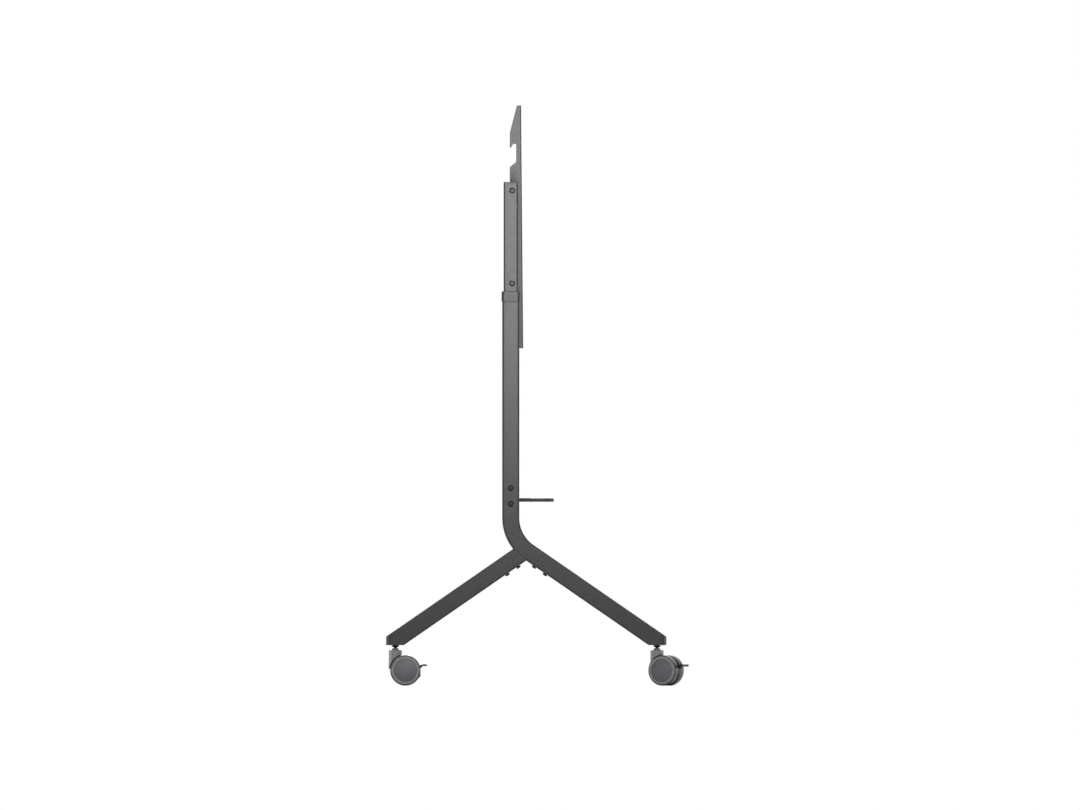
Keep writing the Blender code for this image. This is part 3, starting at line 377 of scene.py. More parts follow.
def lathe(name, profile, sides=48):
    """Turns a profile of (radius, height) points about Z, from a disc that is extruded and
    resized ring by ring. It starts and ends with a flat face."""
    radius, height = profile[0]
    bpy.ops.mesh.primitive_circle_add(
        vertices=sides, radius=radius, fill_type="NGON", location=(0, 0, height)
    )
    piece = added(name)
    with editing(piece):
        now, level = radius, height
        for next_radius, next_height in profile[1:]:
            push((0, 0, next_height - level))
            ratio = next_radius / now
            bpy.ops.transform.resize(
                value=(ratio, ratio, 1), center_override=(0, 0, next_height)
            )
            now, level = next_radius, next_height
    return outward(piece)


def quarter(centre, across, up, first=0, steps=8):
    """Profile points along a quarter of an oval, from an angle in degrees on."""
    points = []
    for step in range(steps + 1):
        angle = math.radians(first + 90 * step / steps)
        points.append((centre[0] + across * math.cos(angle), centre[1] + up * math.sin(angle)))
    return points


def forward(distance):
    """The Y of a place a distance forward of the posts' centre line."""
    return POST_Y - distance


def leg_point(along, below):
    """A place on a front leg, from its nose's top corner back along the top edge and then
    square down from it."""
    nose = Vector((0, APEX_Y - LEG_REACH, FOOT_Z + NOSE_HEIGHT))
    return nose - along * ALONG_LEG - below * OFF_LEG


def leg_turns():
    """What takes a front leg's piece to either end: nothing, or half a turn about the
    upright line between the legs."""
    apex = Matrix.Translation((0, APEX_Y, 0))
    half_turn = apex @ Matrix.Rotation(math.pi, 4, "Z") @ apex.inverted()
    return ("front", Matrix.Identity(4)), ("rear", half_turn)


def at_side(side, x=POST_X):
    """Takes a piece made on the middle plane out to one side, and mirrors it on the right."""
    return Matrix.Translation((side * x, 0, 0)) @ Matrix.Scale(-side, 4, (1, 0, 0))


def finished(piece, body, slot_name, *nodes):
    """Shades a piece smooth, gives it its body, hides the nodes that it stands for, and gives it
    the slot's finish if it has none of its own."""
    smooth(piece)
    if not any(piece.data.materials):
        piece.data.materials.clear()
        piece.data.materials.append(COATS[slot_name])
    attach(piece, body)
    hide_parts(*nodes)
    return piece


# Finishes

def linear(hex_colour):
    """Linear RGBA of an sRGB colour written as hex."""
    channels = [int(hex_colour[i:i + 2], 16) / 255 for i in (1, 3, 5)]
    return [c / 12.92 if c <= 0.04045 else ((c + 0.055) / 1.055) ** 2.4 for c in channels] + [1]


def node(tree, kind, links=None, **settings):
    """Adds a shader node, sets its properties or inputs and links its inputs."""
    made = tree.nodes.new(kind)
    for name, value in settings.items():
        if hasattr(made, name):
            setattr(made, name, value)
        else:
            made.inputs[name.replace("_", " ")].default_value = value
    for name, output in (links or {}).items():
        tree.links.new(output, made.inputs[name])
    return made


def new_material(name, colour, roughness, metallic=0.0, specular=0.5):
    made = bpy.data.materials.new(name)
    made.use_nodes = True
    tree = made.node_tree
    shader = tree.nodes["Principled BSDF"]
    shader.inputs["Base Color"].default_value = linear(colour)
    shader.inputs["Roughness"].default_value = roughness
    shader.inputs["Metallic"].default_value = metallic
    shader.inputs["Specular IOR Level"].default_value = specular
    return made, tree, shader


def place_on(tree):
    """The place on a piece, which every pattern starts from."""
    return node(tree, "ShaderNodeTexCoord").outputs["Object"]


def noise(tree, scale, detail):
    """A cloudy pattern that runs from 0 to 1, with some number of clouds to the metre."""
    return node(
        tree, "ShaderNodeTexNoise", {"Vector": place_on(tree)}, Scale=scale, Detail=detail
    ).outputs["Fac"]


def bumped(tree, height, strength, depth, below=None):
    """A surface raised by a pattern, over another such surface if one is given."""
    links = {"Height": height, "Normal": below} if below else {"Height": height}
    return node(
        tree, "ShaderNodeBump", links, Strength=strength, Distance=depth
    ).outputs["Normal"]


def finish(tree, shader, colour, roughness, normal=None):
    """Links the patterns to the shader."""
    tree.links.new(colour, shader.inputs["Base Color"])
    tree.links.new(roughness, shader.inputs["Roughness"])
    if normal:
        tree.links.new(normal, shader.inputs["Normal"])


def between(tree, fac, low, high):
    """Turns a pattern that runs from 0 to 1 into a value between two others."""
    return node(
        tree, "ShaderNodeMapRange", {"Value": fac}, To_Min=low, To_Max=high
    ).outputs["Result"]


def blended(tree, fac, dark, light):
    """Two colours mixed by a pattern."""
    mix = node(tree, "ShaderNodeMix", {0: fac}, data_type="RGBA")
    mix.inputs[6].default_value = linear(dark)
    mix.inputs[7].default_value = linear(light)
    return mix.outputs[2]


def powder_coat():
    """Charcoal polyester powder coat baked on steel: a satin black that turns grey where a
    lamp lies in its sheen, with the orange peel of a melted coat, about 1.5 mm from crest
    to crest, under a fine 0.3 mm texture, and patches a hand wide that are a shade lighter
    or darker."""
    made, tree, shader = new_material("powder_coated_steel", "#303032", 0.38, specular=0.32)
    colour = blended(tree, noise(tree, 14.0, 3.0), "#2e2e30", "#333335")
    peel, grain = noise(tree, 650.0, 1.0), noise(tree, 3300.0, 1.0)
    waves = bumped(tree, peel, 0.25, 0.00005)
    surface = bumped(tree, grain, 0.20, 0.00001, waves)
    finish(tree, shader, colour, between(tree, grain, 0.34, 0.44), surface)
    return made


def black_zinc():
    """Black chromated zinc on steel screws and stems: nearly black with a dull metal shine,
    a little greyer where it has been handled."""
    made, tree, shader = new_material("black_zinc_plated_steel", "#272728", 0.36, metallic=1.0)
    worn = noise(tree, 450.0, 4.0)
    colour = blended(tree, worn, "#232324", "#2b2b2c")
    finish(tree, shader, colour, between(tree, worn, 0.30, 0.40))
    return made


def moulded(name, dark, light, low, high, grain_scale, strength, specular=0.5):
    """A moulded plastic: an even colour with faint flow marks, and the fine grain of a
    spark-eroded mould, which breaks its shine."""
    made, tree, shader = new_material(name, light, high, specular=specular)
    colour = blended(tree, noise(tree, 40.0, 2.0), dark, light)
    grain = noise(tree, grain_scale, 2.0)
    surface = bumped(tree, grain, strength, 0.000005)
    finish(tree, shader, colour, between(tree, grain, low, high), surface)
    return made


POWDER_COAT = powder_coat()
BLACK_ZINC = black_zinc()
# Glass-filled nylon of the collars and caps, in the coat's grey: a 0.4 mm grain, quite matt
COLLAR_NYLON = moulded("moulded_dark_nylon", "#2e2e30", "#333335", 0.36, 0.46, 2500.0, 0.30, 0.32)
# Nylon of the caster hoods: light grey, satin, a 0.4 mm grain
HOOD_NYLON = moulded("moulded_grey_nylon", "#7a7a7d", "#828285", 0.34, 0.46, 2500.0, 0.25)
# The casters' inner frames, black nylon in the same grain; their black is partly painted shade,
# standing in for the deep shadow in the gaps between the wheels
BLACK_NYLON_WITH_GAP_SHADE = moulded("black_nylon_with_painted_gap_shade", "#161618", "#1c1c1e", 0.40, 0.52, 2500.0, 0.25, 0.35)
# The wheels' discs, the same nylon from a polished mould
DISC_NYLON = moulded("polished_grey_nylon", "#545457", "#5c5c5f", 0.26, 0.36, 1500.0, 0.10)
# Polyurethane tread: dark grey, smooth and a little glossy, so that lamps draw lines on it
TREAD = moulded("moulded_grey_polyurethane", "#3c3c3e", "#444446", 0.24, 0.34, 1200.0, 0.12)
COATS = {
    "powder_coated_steel": POWDER_COAT,
    "black_zinc_steel": BLACK_ZINC,
    "collar_nylon": COLLAR_NYLON,
    "caster_nylon": HOOD_NYLON,
    "wheel_polyurethane": TREAD,
}

for part in frame["record"]["subparts"]:
    cad = frame["nodes"][part["node"]]
    cad.data.materials.clear()
    cad.data.materials.append(COATS[part["material_slot"]])


# The base

def post_bar(width=POST_WIDTH):
    """Solid bar in the shape of the post and front leg: drawn down from the post's top,
    bent forward and run out to the leg's end."""
    bar = rounded_plate("bent_post", width, POST_DEPTH, POST_CORNER)
    moved(bar, Matrix.Translation((0, POST_Y, POST_TOP_Z)))
    foot = leg_point(LEG_END_LENGTH + JOINT, POST_DEPTH / 2)
    straight = (APEX_Y - BEND_END - foot.y) / math.cos(LEG_SLOPE)
    with editing(bar):
        push((0, 0, BEND_Z - POST_TOP_Z))
        bpy.ops.mesh.spin(
            steps=28, angle=BEND_ANGLE, center=(0, POST_Y - BEND_RADIUS, BEND_Z), axis=(1, 0, 0)
        )
        push(straight * ALONG_LEG)
    return outward(bar)


def hollow(bar):
    """Makes a bar a tube: its ends, the only faces with many corners, go, and its skin gets
    a wall."""
    with editing(bar) as work:
        work.pick("FACE", lambda face: len(face.verts) > 8)
        bpy.ops.mesh.delete(type="ONLY_FACE")
    return thick(bar, TUBE_WALL)


def weld_nut():
    """Hexagonal weld nut on the post's inboard face, with a rippled bead round its foot."""
    face = POST_WIDTH / 2
    chamfer, boss = 0.0018, 0.0004
    rings, ripple = 72, 0.0003
    nut = rod(
        "weld_nut", NUT_RADIUS, (face - TUBE_WALL / 2, POST_Y, CLAMP_Z),
        (face + NUT_HEIGHT, POST_Y, CLAMP_Z), 6,
    )
    with editing(nut) as work:
        work.pick("FACE", lambda f: f.normal.x > 0.9)
        bpy.ops.mesh.inset(thickness=chamfer)
        shift((boss, 0, 0))
    eased(nut, 0.0005)
    centre = Vector((face, POST_Y, CLAMP_Z))
    bpy.ops.mesh.primitive_torus_add(
        major_radius=NUT_RADIUS, minor_radius=0.0010, major_segments=rings, minor_segments=10,
        location=centre, rotation=(0, math.radians(90), 0),
    )
    bead = added("weld_bead")

    def crest(corner):
        """Whether a corner is on a third ring."""
        arm = corner.co - centre
        return round(math.atan2(arm.y, arm.z) / math.radians(360 / rings)) % 3 == 0
    with editing(bead) as work:
        work.pick("VERT", crest)
        bpy.ops.transform.shrink_fatten(value=ripple)
    return joined(nut, bead)


def bent_post():
    """Post and front leg, one bent tube, for the left side: its inboard side faces +X."""
    return joined(eased(hollow(post_bar()), 0.0002, steps=1, degrees=60), weld_nut())


def rear_leg():
    """Rear leg tube, its upper end cut to the shape of the bent post it is welded to."""
    leg = rounded_plate("rear_leg", POST_WIDTH, POST_DEPTH, POST_CORNER)
    place = Matrix.Translation((0, APEX_Y, LEG_AXIS_Z))
    moved(leg, place @ Matrix.Rotation(BEND_ANGLE, 4, "X"))
    foot = leg_point(LEG_END_LENGTH + JOINT, POST_DEPTH / 2)
    length = (APEX_Y - foot.y) / math.cos(LEG_SLOPE)
    with editing(leg):
        push((0, length * math.cos(LEG_SLOPE), -length * math.sin(LEG_SLOPE)))
    past_sides = 0.0004
    return cut_out(hollow(outward(leg)), post_bar(POST_WIDTH + past_sides))


def leg_end():
    """Cast end of a front leg: a full-round nose, a flat foot and a plug for the tube."""
    half = POST_WIDTH / 2
    nose_radius = half * 0.996    # the curves stop just short of each other
    back = leg_point(LEG_END_LENGTH, POST_DEPTH).y + half
    end = block(
        "leg_end", (-half, APEX_Y - LEG_REACH, FOOT_Z), (half, back, FOOT_Z + 3 * POST_DEPTH)
    )
    with editing(end) as work:
        work.pick("EDGE", lambda e: runs_along(e, (0, 0, 1)) and middle(e).y < back - half)
        round_off(nose_radius, 14)
        slice_off(leg_point(0, 0), OFF_LEG)
        slice_off(leg_point(LEG_END_LENGTH, 0), -ALONG_LEG)
        slice_off(leg_point(0, POST_DEPTH), -OFF_LEG)
        bpy.ops.mesh.select_all(action="SELECT")
        bpy.ops.mesh.remove_doubles(threshold=0.00005)

        def at_tube(face):
            return face.normal.dot(-ALONG_LEG) > 0.99

        def rim(edge):
            faces = edge.link_faces
            if len(faces) < 2 or any(at_tube(f) for f in faces):
                return False
            return faces[0].normal.angle(faces[1].normal) > math.radians(40)
        work.pick("EDGE", rim)
        bpy.ops.mesh.bevel(offset=LEG_END_EDGE, segments=4, affect="EDGES", clamp_overlap=True)
        work.pick("FACE", at_tube)
        bpy.ops.mesh.inset(thickness=TUBE_WALL + SEAM)
        push(-LEG_END_PLUG * ALONG_LEG)
    return outward(end)


def collar():
    """Moulded sleeve over the post's top, bored for the inner tube."""
    lip = 2 * COLLAR_LIP
    sleeve = rounded_plate(
        "collar", POST_WIDTH + lip, POST_DEPTH + lip, POST_CORNER + COLLAR_LIP, steps=8
    )
    foot = COLLAR_LOW_Z + COLLAR_TAPER
    moved(sleeve, Matrix.Translation((0, POST_Y, foot)))
    with editing(sleeve) as work:
        push((0, 0, COLLAR_TOP_Z - foot))
        work.pick("EDGE", lambda e: all(v.co.z > COLLAR_TOP_Z - NEAR for v in e.verts))
        round_off(0.0014, 4)
        work.pick("FACE", lambda f: len(f.verts) > 8 and middle(f).z < foot + NEAR)
        push((0, 0, -COLLAR_TAPER))
        bpy.ops.transform.resize(
            value=((POST_WIDTH + COLLAR_PLAY) / (POST_WIDTH + lip),
                   (POST_DEPTH + COLLAR_PLAY) / (POST_DEPTH + lip), 1),
            center_override=(0, POST_Y, COLLAR_LOW_Z),
        )
    outward(sleeve)
    low = COLLAR_LOW_Z - SPARE
    for width, depth, corner, high in (
        (INNER_WIDTH, INNER_DEPTH, INNER_CORNER, COLLAR_TOP_Z + SPARE),
        (POST_WIDTH, POST_DEPTH, POST_CORNER, POST_TOP_Z + SEAM),
    ):
        tool = rounded_plate("bore", width + 2 * SEAM, depth + 2 * SEAM, corner + SEAM, steps=8)
        moved(tool, Matrix.Translation((0, POST_Y, low)))
        with editing(tool):
            push((0, 0, high - low))
        cut_out(sleeve, outward(tool))
    return sleeve


def crossbar():
    """Rectangular tube between the posts, with the plates that close its ends."""
    low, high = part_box("crossbar")
    corner, proud = 0.004, 0.0005
    bar = rounded_plate("crossbar", high.z - low.z, high.y - low.y, corner)
    turn = Matrix.Rotation(math.radians(90), 4, "Y")
    place = Matrix.Translation((low.x, (low.y + high.y) / 2, (low.z + high.z) / 2))
    moved(bar, place @ turn)
    with editing(bar) as work:
        push((proud, 0, 0))
        push((high.x - low.x - 2 * proud, 0, 0))
        push((proud, 0, 0))
        for x in (low.x, high.x):
            work.pick("FACE", lambda f: len(f.verts) > 8 and abs(middle(f).x - x) < NEAR)
            bpy.ops.transform.resize(
                value=(1, 0.93, 0.97), center_override=place.translation
            )
    return outward(bar)


def shelf():
    """Shelf folded from one sheet: rounded front corners, a rim turned down at the front
    and ends, and an upstand that lies on the crossbar."""
    low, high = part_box("shelf")
    top = high.z - SHELF_UPSTAND
    back = forward(SHELF_BACK)
    bpy.ops.mesh.primitive_plane_add(size=1, location=(0, (low.y + back) / 2, top))
    bpy.context.object.scale = (high.x - low.x, back - low.y, 1)
    sheet = added("shelf")
    with editing(sheet) as work:
        work.pick("VERT", lambda v: v.co.y < back - NEAR)
        bpy.ops.mesh.bevel(offset=SHELF_CORNER, segments=10, affect="VERTICES")
        work.pick("EDGE", lambda e: middle(e).y < back - NEAR)
        push((0, 0, -SHELF_RIM))
        bpy.ops.transform.resize(
            value=(1 - 2 * SHELF_LEAN / (high.x - low.x), 1 - SHELF_LEAN / (back - low.y), 1),
            center_override=(0, back, top),
        )
        work.pick("EDGE", lambda e: middle(e).y > back - NEAR and middle(e).z > top - NEAR)
        push((0, 0, SHELF_UPSTAND))
        work.pick("EDGE", lambda e: len(e.link_faces) == 2 and abs(middle(e).z - top) < NEAR)
        round_off(SHELF_FOLD, 8)
    skin_outside(sheet, wrong=lambda f: f.normal.z < -0.9)
    return eased(thick(sheet, SHELF_SHEET), 0.0004, degrees=50)


# The lift

def inner_tube():
    """Telescopic tube, which slides in the post."""
    tube = rounded_plate("inner_tube", INNER_WIDTH, INNER_DEPTH, INNER_CORNER, steps=8)
    moved(tube, Matrix.Translation((0, POST_Y, INNER_TOP_Z)))
    with editing(tube):
        push((0, 0, -INNER_LENGTH))
    return eased(hollow(outward(tube)), 0.0002, steps=1, degrees=60)


def tube_cap():
    """Moulded plug in the inner tube's top, with a softened edge."""
    inset = 2 * (TUBE_WALL + SEAM)
    cap = rounded_plate(
        "tube_cap", INNER_WIDTH - inset, INNER_DEPTH - inset, INNER_CORNER - TUBE_WALL
    )
    moved(cap, Matrix.Translation((0, POST_Y, INNER_TOP_Z - CAP_PLUG)))
    head = rounded_plate("cap_head", INNER_WIDTH, INNER_DEPTH, INNER_CORNER, steps=8)
    moved(head, Matrix.Translation((0, POST_Y, INNER_TOP_Z + SEAM)))
    top = INNER_TOP_Z + CAP_HEAD
    with editing(cap):
        push((0, 0, CAP_PLUG + 2 * SEAM))
    with editing(head) as work:
        push((0, 0, CAP_HEAD - SEAM))
        work.pick("EDGE", lambda e: all(v.co.z > top - NEAR for v in e.verts))
        round_off(0.0011, 4)
    return welded(outward(head), outward(cap))


def rail(name):
    """Channel folded from one sheet, its front lip doubled over for the hooks, with a
    block in each end for the bolt."""
    low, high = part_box(name)
    lip_top = high.z
    floor = lip_top - RAIL_HEIGHT
    front, back = forward(RAIL_FRONT), forward(RAIL_BACK)
    shorter, hem_gap = 0.001, 0.0001
    bpy.ops.mesh.primitive_plane_add(size=1, location=(0, (front + back) / 2, floor))
    bpy.context.object.scale = (high.x - low.x - shorter, back - front, 1)
    sheet = added(name)
    fold = RAIL_SHEET
    with editing(sheet) as work:
        work.pick("EDGE", lambda e: middle(e).y > back - NEAR)
        push((0, 0, RAIL_HEIGHT - 2 * fold))
        work.pick("EDGE", lambda e: middle(e).y < front + NEAR and runs_along(e, (1, 0, 0)))
        push((0, 0, RAIL_HEIGHT - fold))
        bpy.ops.mesh.spin(
            steps=8, angle=math.pi, center=(0, front + fold, lip_top - fold), axis=(1, 0, 0)
        )
        push((0, 0, fold - RAIL_HEM))
        work.pick(
            "EDGE",
            lambda e: runs_along(e, (1, 0, 0)) and len(e.link_faces) == 2
            and middle(e).z < floor + NEAR,
        )
        round_off(RAIL_FOLD, 5)
    skin_outside(sheet, wrong=lambda f: f.normal.z > 0.9 and middle(f).z < floor + NEAR)
    thick(sheet, RAIL_SHEET - hem_gap)
    eased(sheet, 0.0003, degrees=50)
    bite = 0.6 * fold         # how deep the blocks reach into the sheet
    for side in SIDES.values():
        ends = sorted((side * high.x, side * (high.x - RAIL_BLOCK)))
        plug = block(
            "end_block", (ends[0], front + bite, floor + bite),
            (ends[1], back - bite, lip_top - fold),
        )
        joined(sheet, eased(plug, 0.0006))
    return sheet


# The arms

def arm_front(below_top):
    """The Y of the arm's face at a height below its top. It leans out by half a degree."""
    lean = (ARM_BOTTOM_FRONT - ARM_TOP_FRONT) / ARM_LENGTH
    return forward(ARM_TOP_FRONT + lean * below_top)


def hook_cutters(seat, low):
    """The two shapes cut out of the arm's back below a hook: its mouth, and the room from
    there down to a shoulder or to the arm's foot."""
    wide = ARM_WIDTH
    overlap, flat_tip = 0.001, 0.0008
    front, tongue = forward(MOUTH_FRONT), seat - HOOK_TONGUE
    mouth = block("mouth", (-wide, front, tongue - overlap), (wide, forward(MOUTH_BACK), seat))
    with editing(mouth) as work:
        work.pick("EDGE", lambda e: runs_along(e, (1, 0, 0)) and middle(e).z > seat - NEAR)
        round_off(MOUTH_RADIUS, 6)
        work.pick("VERT", lambda v: v.co.z < tongue and v.co.y > front + NEAR)
        shift((0, MOUTH_BACK - HOOK_BACK - flat_tip, 0))
    room = block("room", (-wide, front, low), (wide, forward(HOOK_BACK) + 2 * SPARE, tongue))
    return outward(mouth), room


def arm_blank():
    """Steel sheet folded to a channel: the leaning front, two sides and the foot."""
    half = ARM_WIDTH / 2
    foot = ARM_TOP_Z - ARM_LENGTH
    blank = block(
        "display_arm", (-half, arm_front(0), foot), (half, forward(HOOK_BACK), ARM_TOP_Z)
    )
    with editing(blank) as work:
        work.pick("VERT", lambda v: v.co.z < foot + NEAR and v.co.y < arm_front(0) + NEAR)
        shift((0, ARM_TOP_FRONT - ARM_BOTTOM_FRONT, 0))
        work.pick("FACE", lambda f: f.normal.y > 0.9 or f.normal.z > 0.9)
        bpy.ops.mesh.delete(type="ONLY_FACE")
        work.pick(
            "EDGE",
            lambda e: len(e.link_faces) == 2 and middle(e).y < forward(ARM_TOP_FRONT) + 0.001
            and abs(e.verts[0].co.z - e.verts[1].co.z) > 0.1,
        )
        round_off(ARM_FOLD, 6)
        work.pick("EDGE", lambda e: len(e.link_faces) == 2 and middle(e).z < foot + NEAR)
        round_off(0.0008, 2)
    return blank


def display_arm():
    """Hooked arm that carries the display: the channel with its hooks and slots cut."""
    arm = thick(arm_blank(), ARM_SHEET)
    seat = ARM_TOP_Z - ARM_HANG
    spare = seat + HOOK_PITCH
    shoulder = spare - HOOK_PITCH / 2 - HOOK_SHOULDER / 2
    foot = ARM_TOP_Z - ARM_LENGTH
    slant = block(
        "slant", (-ARM_WIDTH, forward(ARM_TOP_FRONT + SPARE), ARM_TOP_Z - ARM_TAPER - 2 * SPARE),
        (ARM_WIDTH, forward(HOOK_BACK) + 2 * SPARE, ARM_TOP_Z + 2 * SPARE),
    )
    top_back = Vector((0, forward(ARM_TOP_FRONT - ARM_TOP_DEPTH), ARM_TOP_Z))
    low_back = Vector((0, forward(HOOK_BACK), ARM_TOP_Z - ARM_TAPER))
    rise = (top_back - low_back).normalized()
    with editing(slant):
        slice_off(top_back, (0, -rise.z, rise.y))
    cut_out(arm, outward(slant))
    mouth, room = hook_cutters(spare, shoulder)
    corner = Vector((0, forward(MOUTH_FRONT), shoulder + HOOK_SHOULDER))
    heel = Vector((0, forward(HOOK_BACK), shoulder))
    run = (heel - corner).normalized()
    with editing(room):
        slice_off(corner, (0, run.z, -run.y))
    cut_out(cut_out(arm, mouth), outward(room))
    mouth, room = hook_cutters(seat, foot - SPARE)
    cut_out(cut_out(arm, mouth), room)
    for number in range(4):
        cut_out(arm, display_slot(SLOT_TOP + number * SLOT_PITCH))
    above_fold, beside_fold = foot + 0.004, 0.012
    with editing(arm):        # the foot's U-shaped edge is cut up, or it would split wrongly
        score((0, 0, above_fold), (0, 0, 1))
        for side in SIDES.values():
            score((side * beside_fold, 0, 0), (1, 0, 0))
    return eased(arm, 0.0003, degrees=45)


def display_slot(below_top):
    """Round-ended slot through the arm's front."""
    slot = rounded_plate("slot", SLOT_WIDTH, SLOT_LENGTH, SLOT_WIDTH / 2 - 0.00001, steps=10)
    middle_z = ARM_TOP_Z - below_top - SLOT_LENGTH / 2
    reach = 0.008
    place = Matrix.Translation((0, arm_front(below_top) + reach, middle_z))
    moved(slot, place @ Matrix.Rotation(math.radians(90), 4, "X"))
    with editing(slot):
        push((0, -2 * reach, 0))
    return outward(slot)


# Screws

def button_screw(radius, height, shank, socket, length):
    """Button-head screw with a hexagonal socket: head along +Z, its seat at zero."""
    profile = [(shank * 0.8, -length), (shank, -length + shank * 0.2), (shank, 0)]
    profile += [(radius - 0.0002, 0), (radius, 0.0003)]
    crown, skirt, key_depth = radius * 0.50, height * 0.25, 0.0026
    profile += quarter((crown, skirt), radius - crown, height - skirt)[1:]
    screw = lathe("button_screw", profile)
    key = rod("key", socket, (0, 0, height - key_depth), (0, 0, height + key_depth), 6)
    return cut_out(screw, key)


# Casters

def caster_stem():
    """Turned steel stem: the neck in the hood, the flange under the leg and the pin in it."""
    top = FOOT_Z - SEAM
    profile = [
        (0.0034, top - 0.0256), (0.0040, top - 0.0250), (0.0040, top - 0.0056),
        (0.0088, top - 0.0028), (0.0093, top - 0.0024), (0.0093, top - 0.0003),
        (0.0090, top), (0.0050, top), (0.0050, top + 0.0192), (0.0044, top + 0.0200),
    ]
    return lathe("caster_stem", profile)


def hood():
    """The caster's moulded hood: a round column with a softly domed shoulder and boss."""
    profile = [
        (HOOD_SKIRT_RADIUS - 0.0006, HOOD_SKIRT_Z), (HOOD_SKIRT_RADIUS, HOOD_SKIRT_Z + 0.0005),
    ]
    edge = (HOOD_RADIUS - HOOD_EDGE, HOOD_SHOULDER_Z - HOOD_EDGE)
    profile += quarter(edge, HOOD_EDGE, HOOD_EDGE, steps=5)
    profile += [
        (0.0094, HOOD_SHOULDER_Z + 0.0002), (0.0086, HOOD_SHOULDER_Z + 0.0010),
        (HOOD_TOP_RADIUS, HOOD_TOP_Z - 0.0006), (HOOD_TOP_RADIUS - 0.0006, HOOD_TOP_Z),
        (0.0046, HOOD_TOP_Z), (0.0043, HOOD_TOP_Z - 0.0006), (0.0043, 0.0700),
    ]
    return lathe("caster_housing", profile, 64)


def caster_housing():
    """Hood, cut clear of the wheels, on a middle web with the axle and pedal cheeks."""
    body = hood()
    body.data.materials.append(HOOD_NYLON)
    axle = Vector((0, -TRAIL, AXLE_Z))
    across = Vector((WHEEL_GAP / 2 + WHEEL_WIDTH + SPARE, 0, 0))
    room = WHEEL_RADIUS + WHEEL_CLEARANCE
    cut_out(body, rod("wheel_space", room, axle - across, axle + across, 128))
    with editing(body):
        bpy.ops.mesh.dissolve_limited(angle_limit=math.radians(0.5))
        bpy.ops.mesh.remove_doubles(threshold=0.00003)
    eased(body, 0.0005, steps=3, degrees=40)
    half = Vector((WEB_HALF, 0, 0))
    web = rod("web", WEB_RADIUS, axle - half, axle + half, 96)
    column = block("column", (-WEB_HALF, -0.0140, 0.0410), (WEB_HALF, 0.0150, 0.0806))
    bumper = block(
        "bumper", (-WEB_HALF, -BUMPER_REACH, AXLE_Z - 0.0195),
        (WEB_HALF, -0.030, PEDAL_Z + 0.0060),
    )
    with editing(bumper):
        slice_off((0, -BUMPER_REACH, AXLE_Z - 0.0135), (0, -0.8, -0.6))
        slice_off((0, -BUMPER_REACH, PEDAL_Z - 0.0030), (0, -0.75, 0.66))
    welded(welded(web, column), bumper)
    slot = block(
        "pedal_slot", (-0.0025, -2 * PEDAL_REACH, PEDAL_Z - 0.0043),
        (0.0025, 0.0043 - PEDAL_REACH, 2 * PEDAL_Z),
    )
    cut_out(web, slot)
    eased(web, 0.0005, degrees=40)
    # painted shade: the web, column and bumper turn black, which also darkens the gaps between
    # the wheels where shade falls
    web.data.materials.clear()
    web.data.materials.append(BLACK_NYLON_WITH_GAP_SHADE)
    pin = Vector((0.0085 + WHEEL_GAP, 0, 0))
    shaft = rod("axle", AXLE_RADIUS, axle - pin, axle + pin)
    eased(shaft, 0.0004).data.materials.append(BLACK_ZINC)
    return joined(body, web, shaft)


def caster_wheel():
    """One wheel of a pair: dished disc, raised rim ring and rounded tread. It is turned
    about X, on the +X side of the pair's middle."""
    inner = WHEEL_GAP / 2
    outer = inner + WHEEL_WIDTH
    disc = WHEEL_RADIUS - RIM_RING
    bore = AXLE_RADIUS + 0.0006
    inner_edge, tread_edge, dish = 0.0022, 0.0034, 0.0024
    shoulder = outer - tread_edge - 0.0002
    profile = [
        (bore, outer - 0.0034), (bore, inner),
        (HUB_RADIUS, inner), (HUB_RADIUS + 0.0006, outer - 0.0060),
        (WHEEL_RADIUS - 0.0060, outer - 0.0070), (WHEEL_RADIUS - 0.0050, inner + 0.0004),
        (WHEEL_RADIUS - 0.0046, inner),
    ]
    for height, first, edge in ((inner + inner_edge, -90, inner_edge), (shoulder, 0, tread_edge)):
        profile += quarter((WHEEL_RADIUS - edge, height), edge, edge, first)
    rim = WHEEL_RADIUS - tread_edge
    profile += [
        (rim - 0.0002, outer), (disc + 0.0005, outer), (disc, outer - 0.0003),
        (disc - 0.0003, outer - 0.0022), (disc - 0.0010, outer - dish),
    ]
    dome = disc - 0.0014
    profile += [
        (dome * share, outer - dish * share ** 2) for share in (0.99, 0.85, 0.7, 0.5, 0.3, 0.08)
    ]
    wheel = lathe("caster_wheel", profile, 96)
    for coat in (TREAD, HOOD_NYLON, DISC_NYLON):
        wheel.data.materials.append(coat)
    for face in wheel.data.polygons:
        reach = face.center.xy.length
        if face.center.z > shoulder and reach < rim:
            face.material_index = 1 if reach > disc + NEAR else 2
    moved(wheel, Matrix.Rotation(math.radians(90), 4, "Y"))
    return wheel


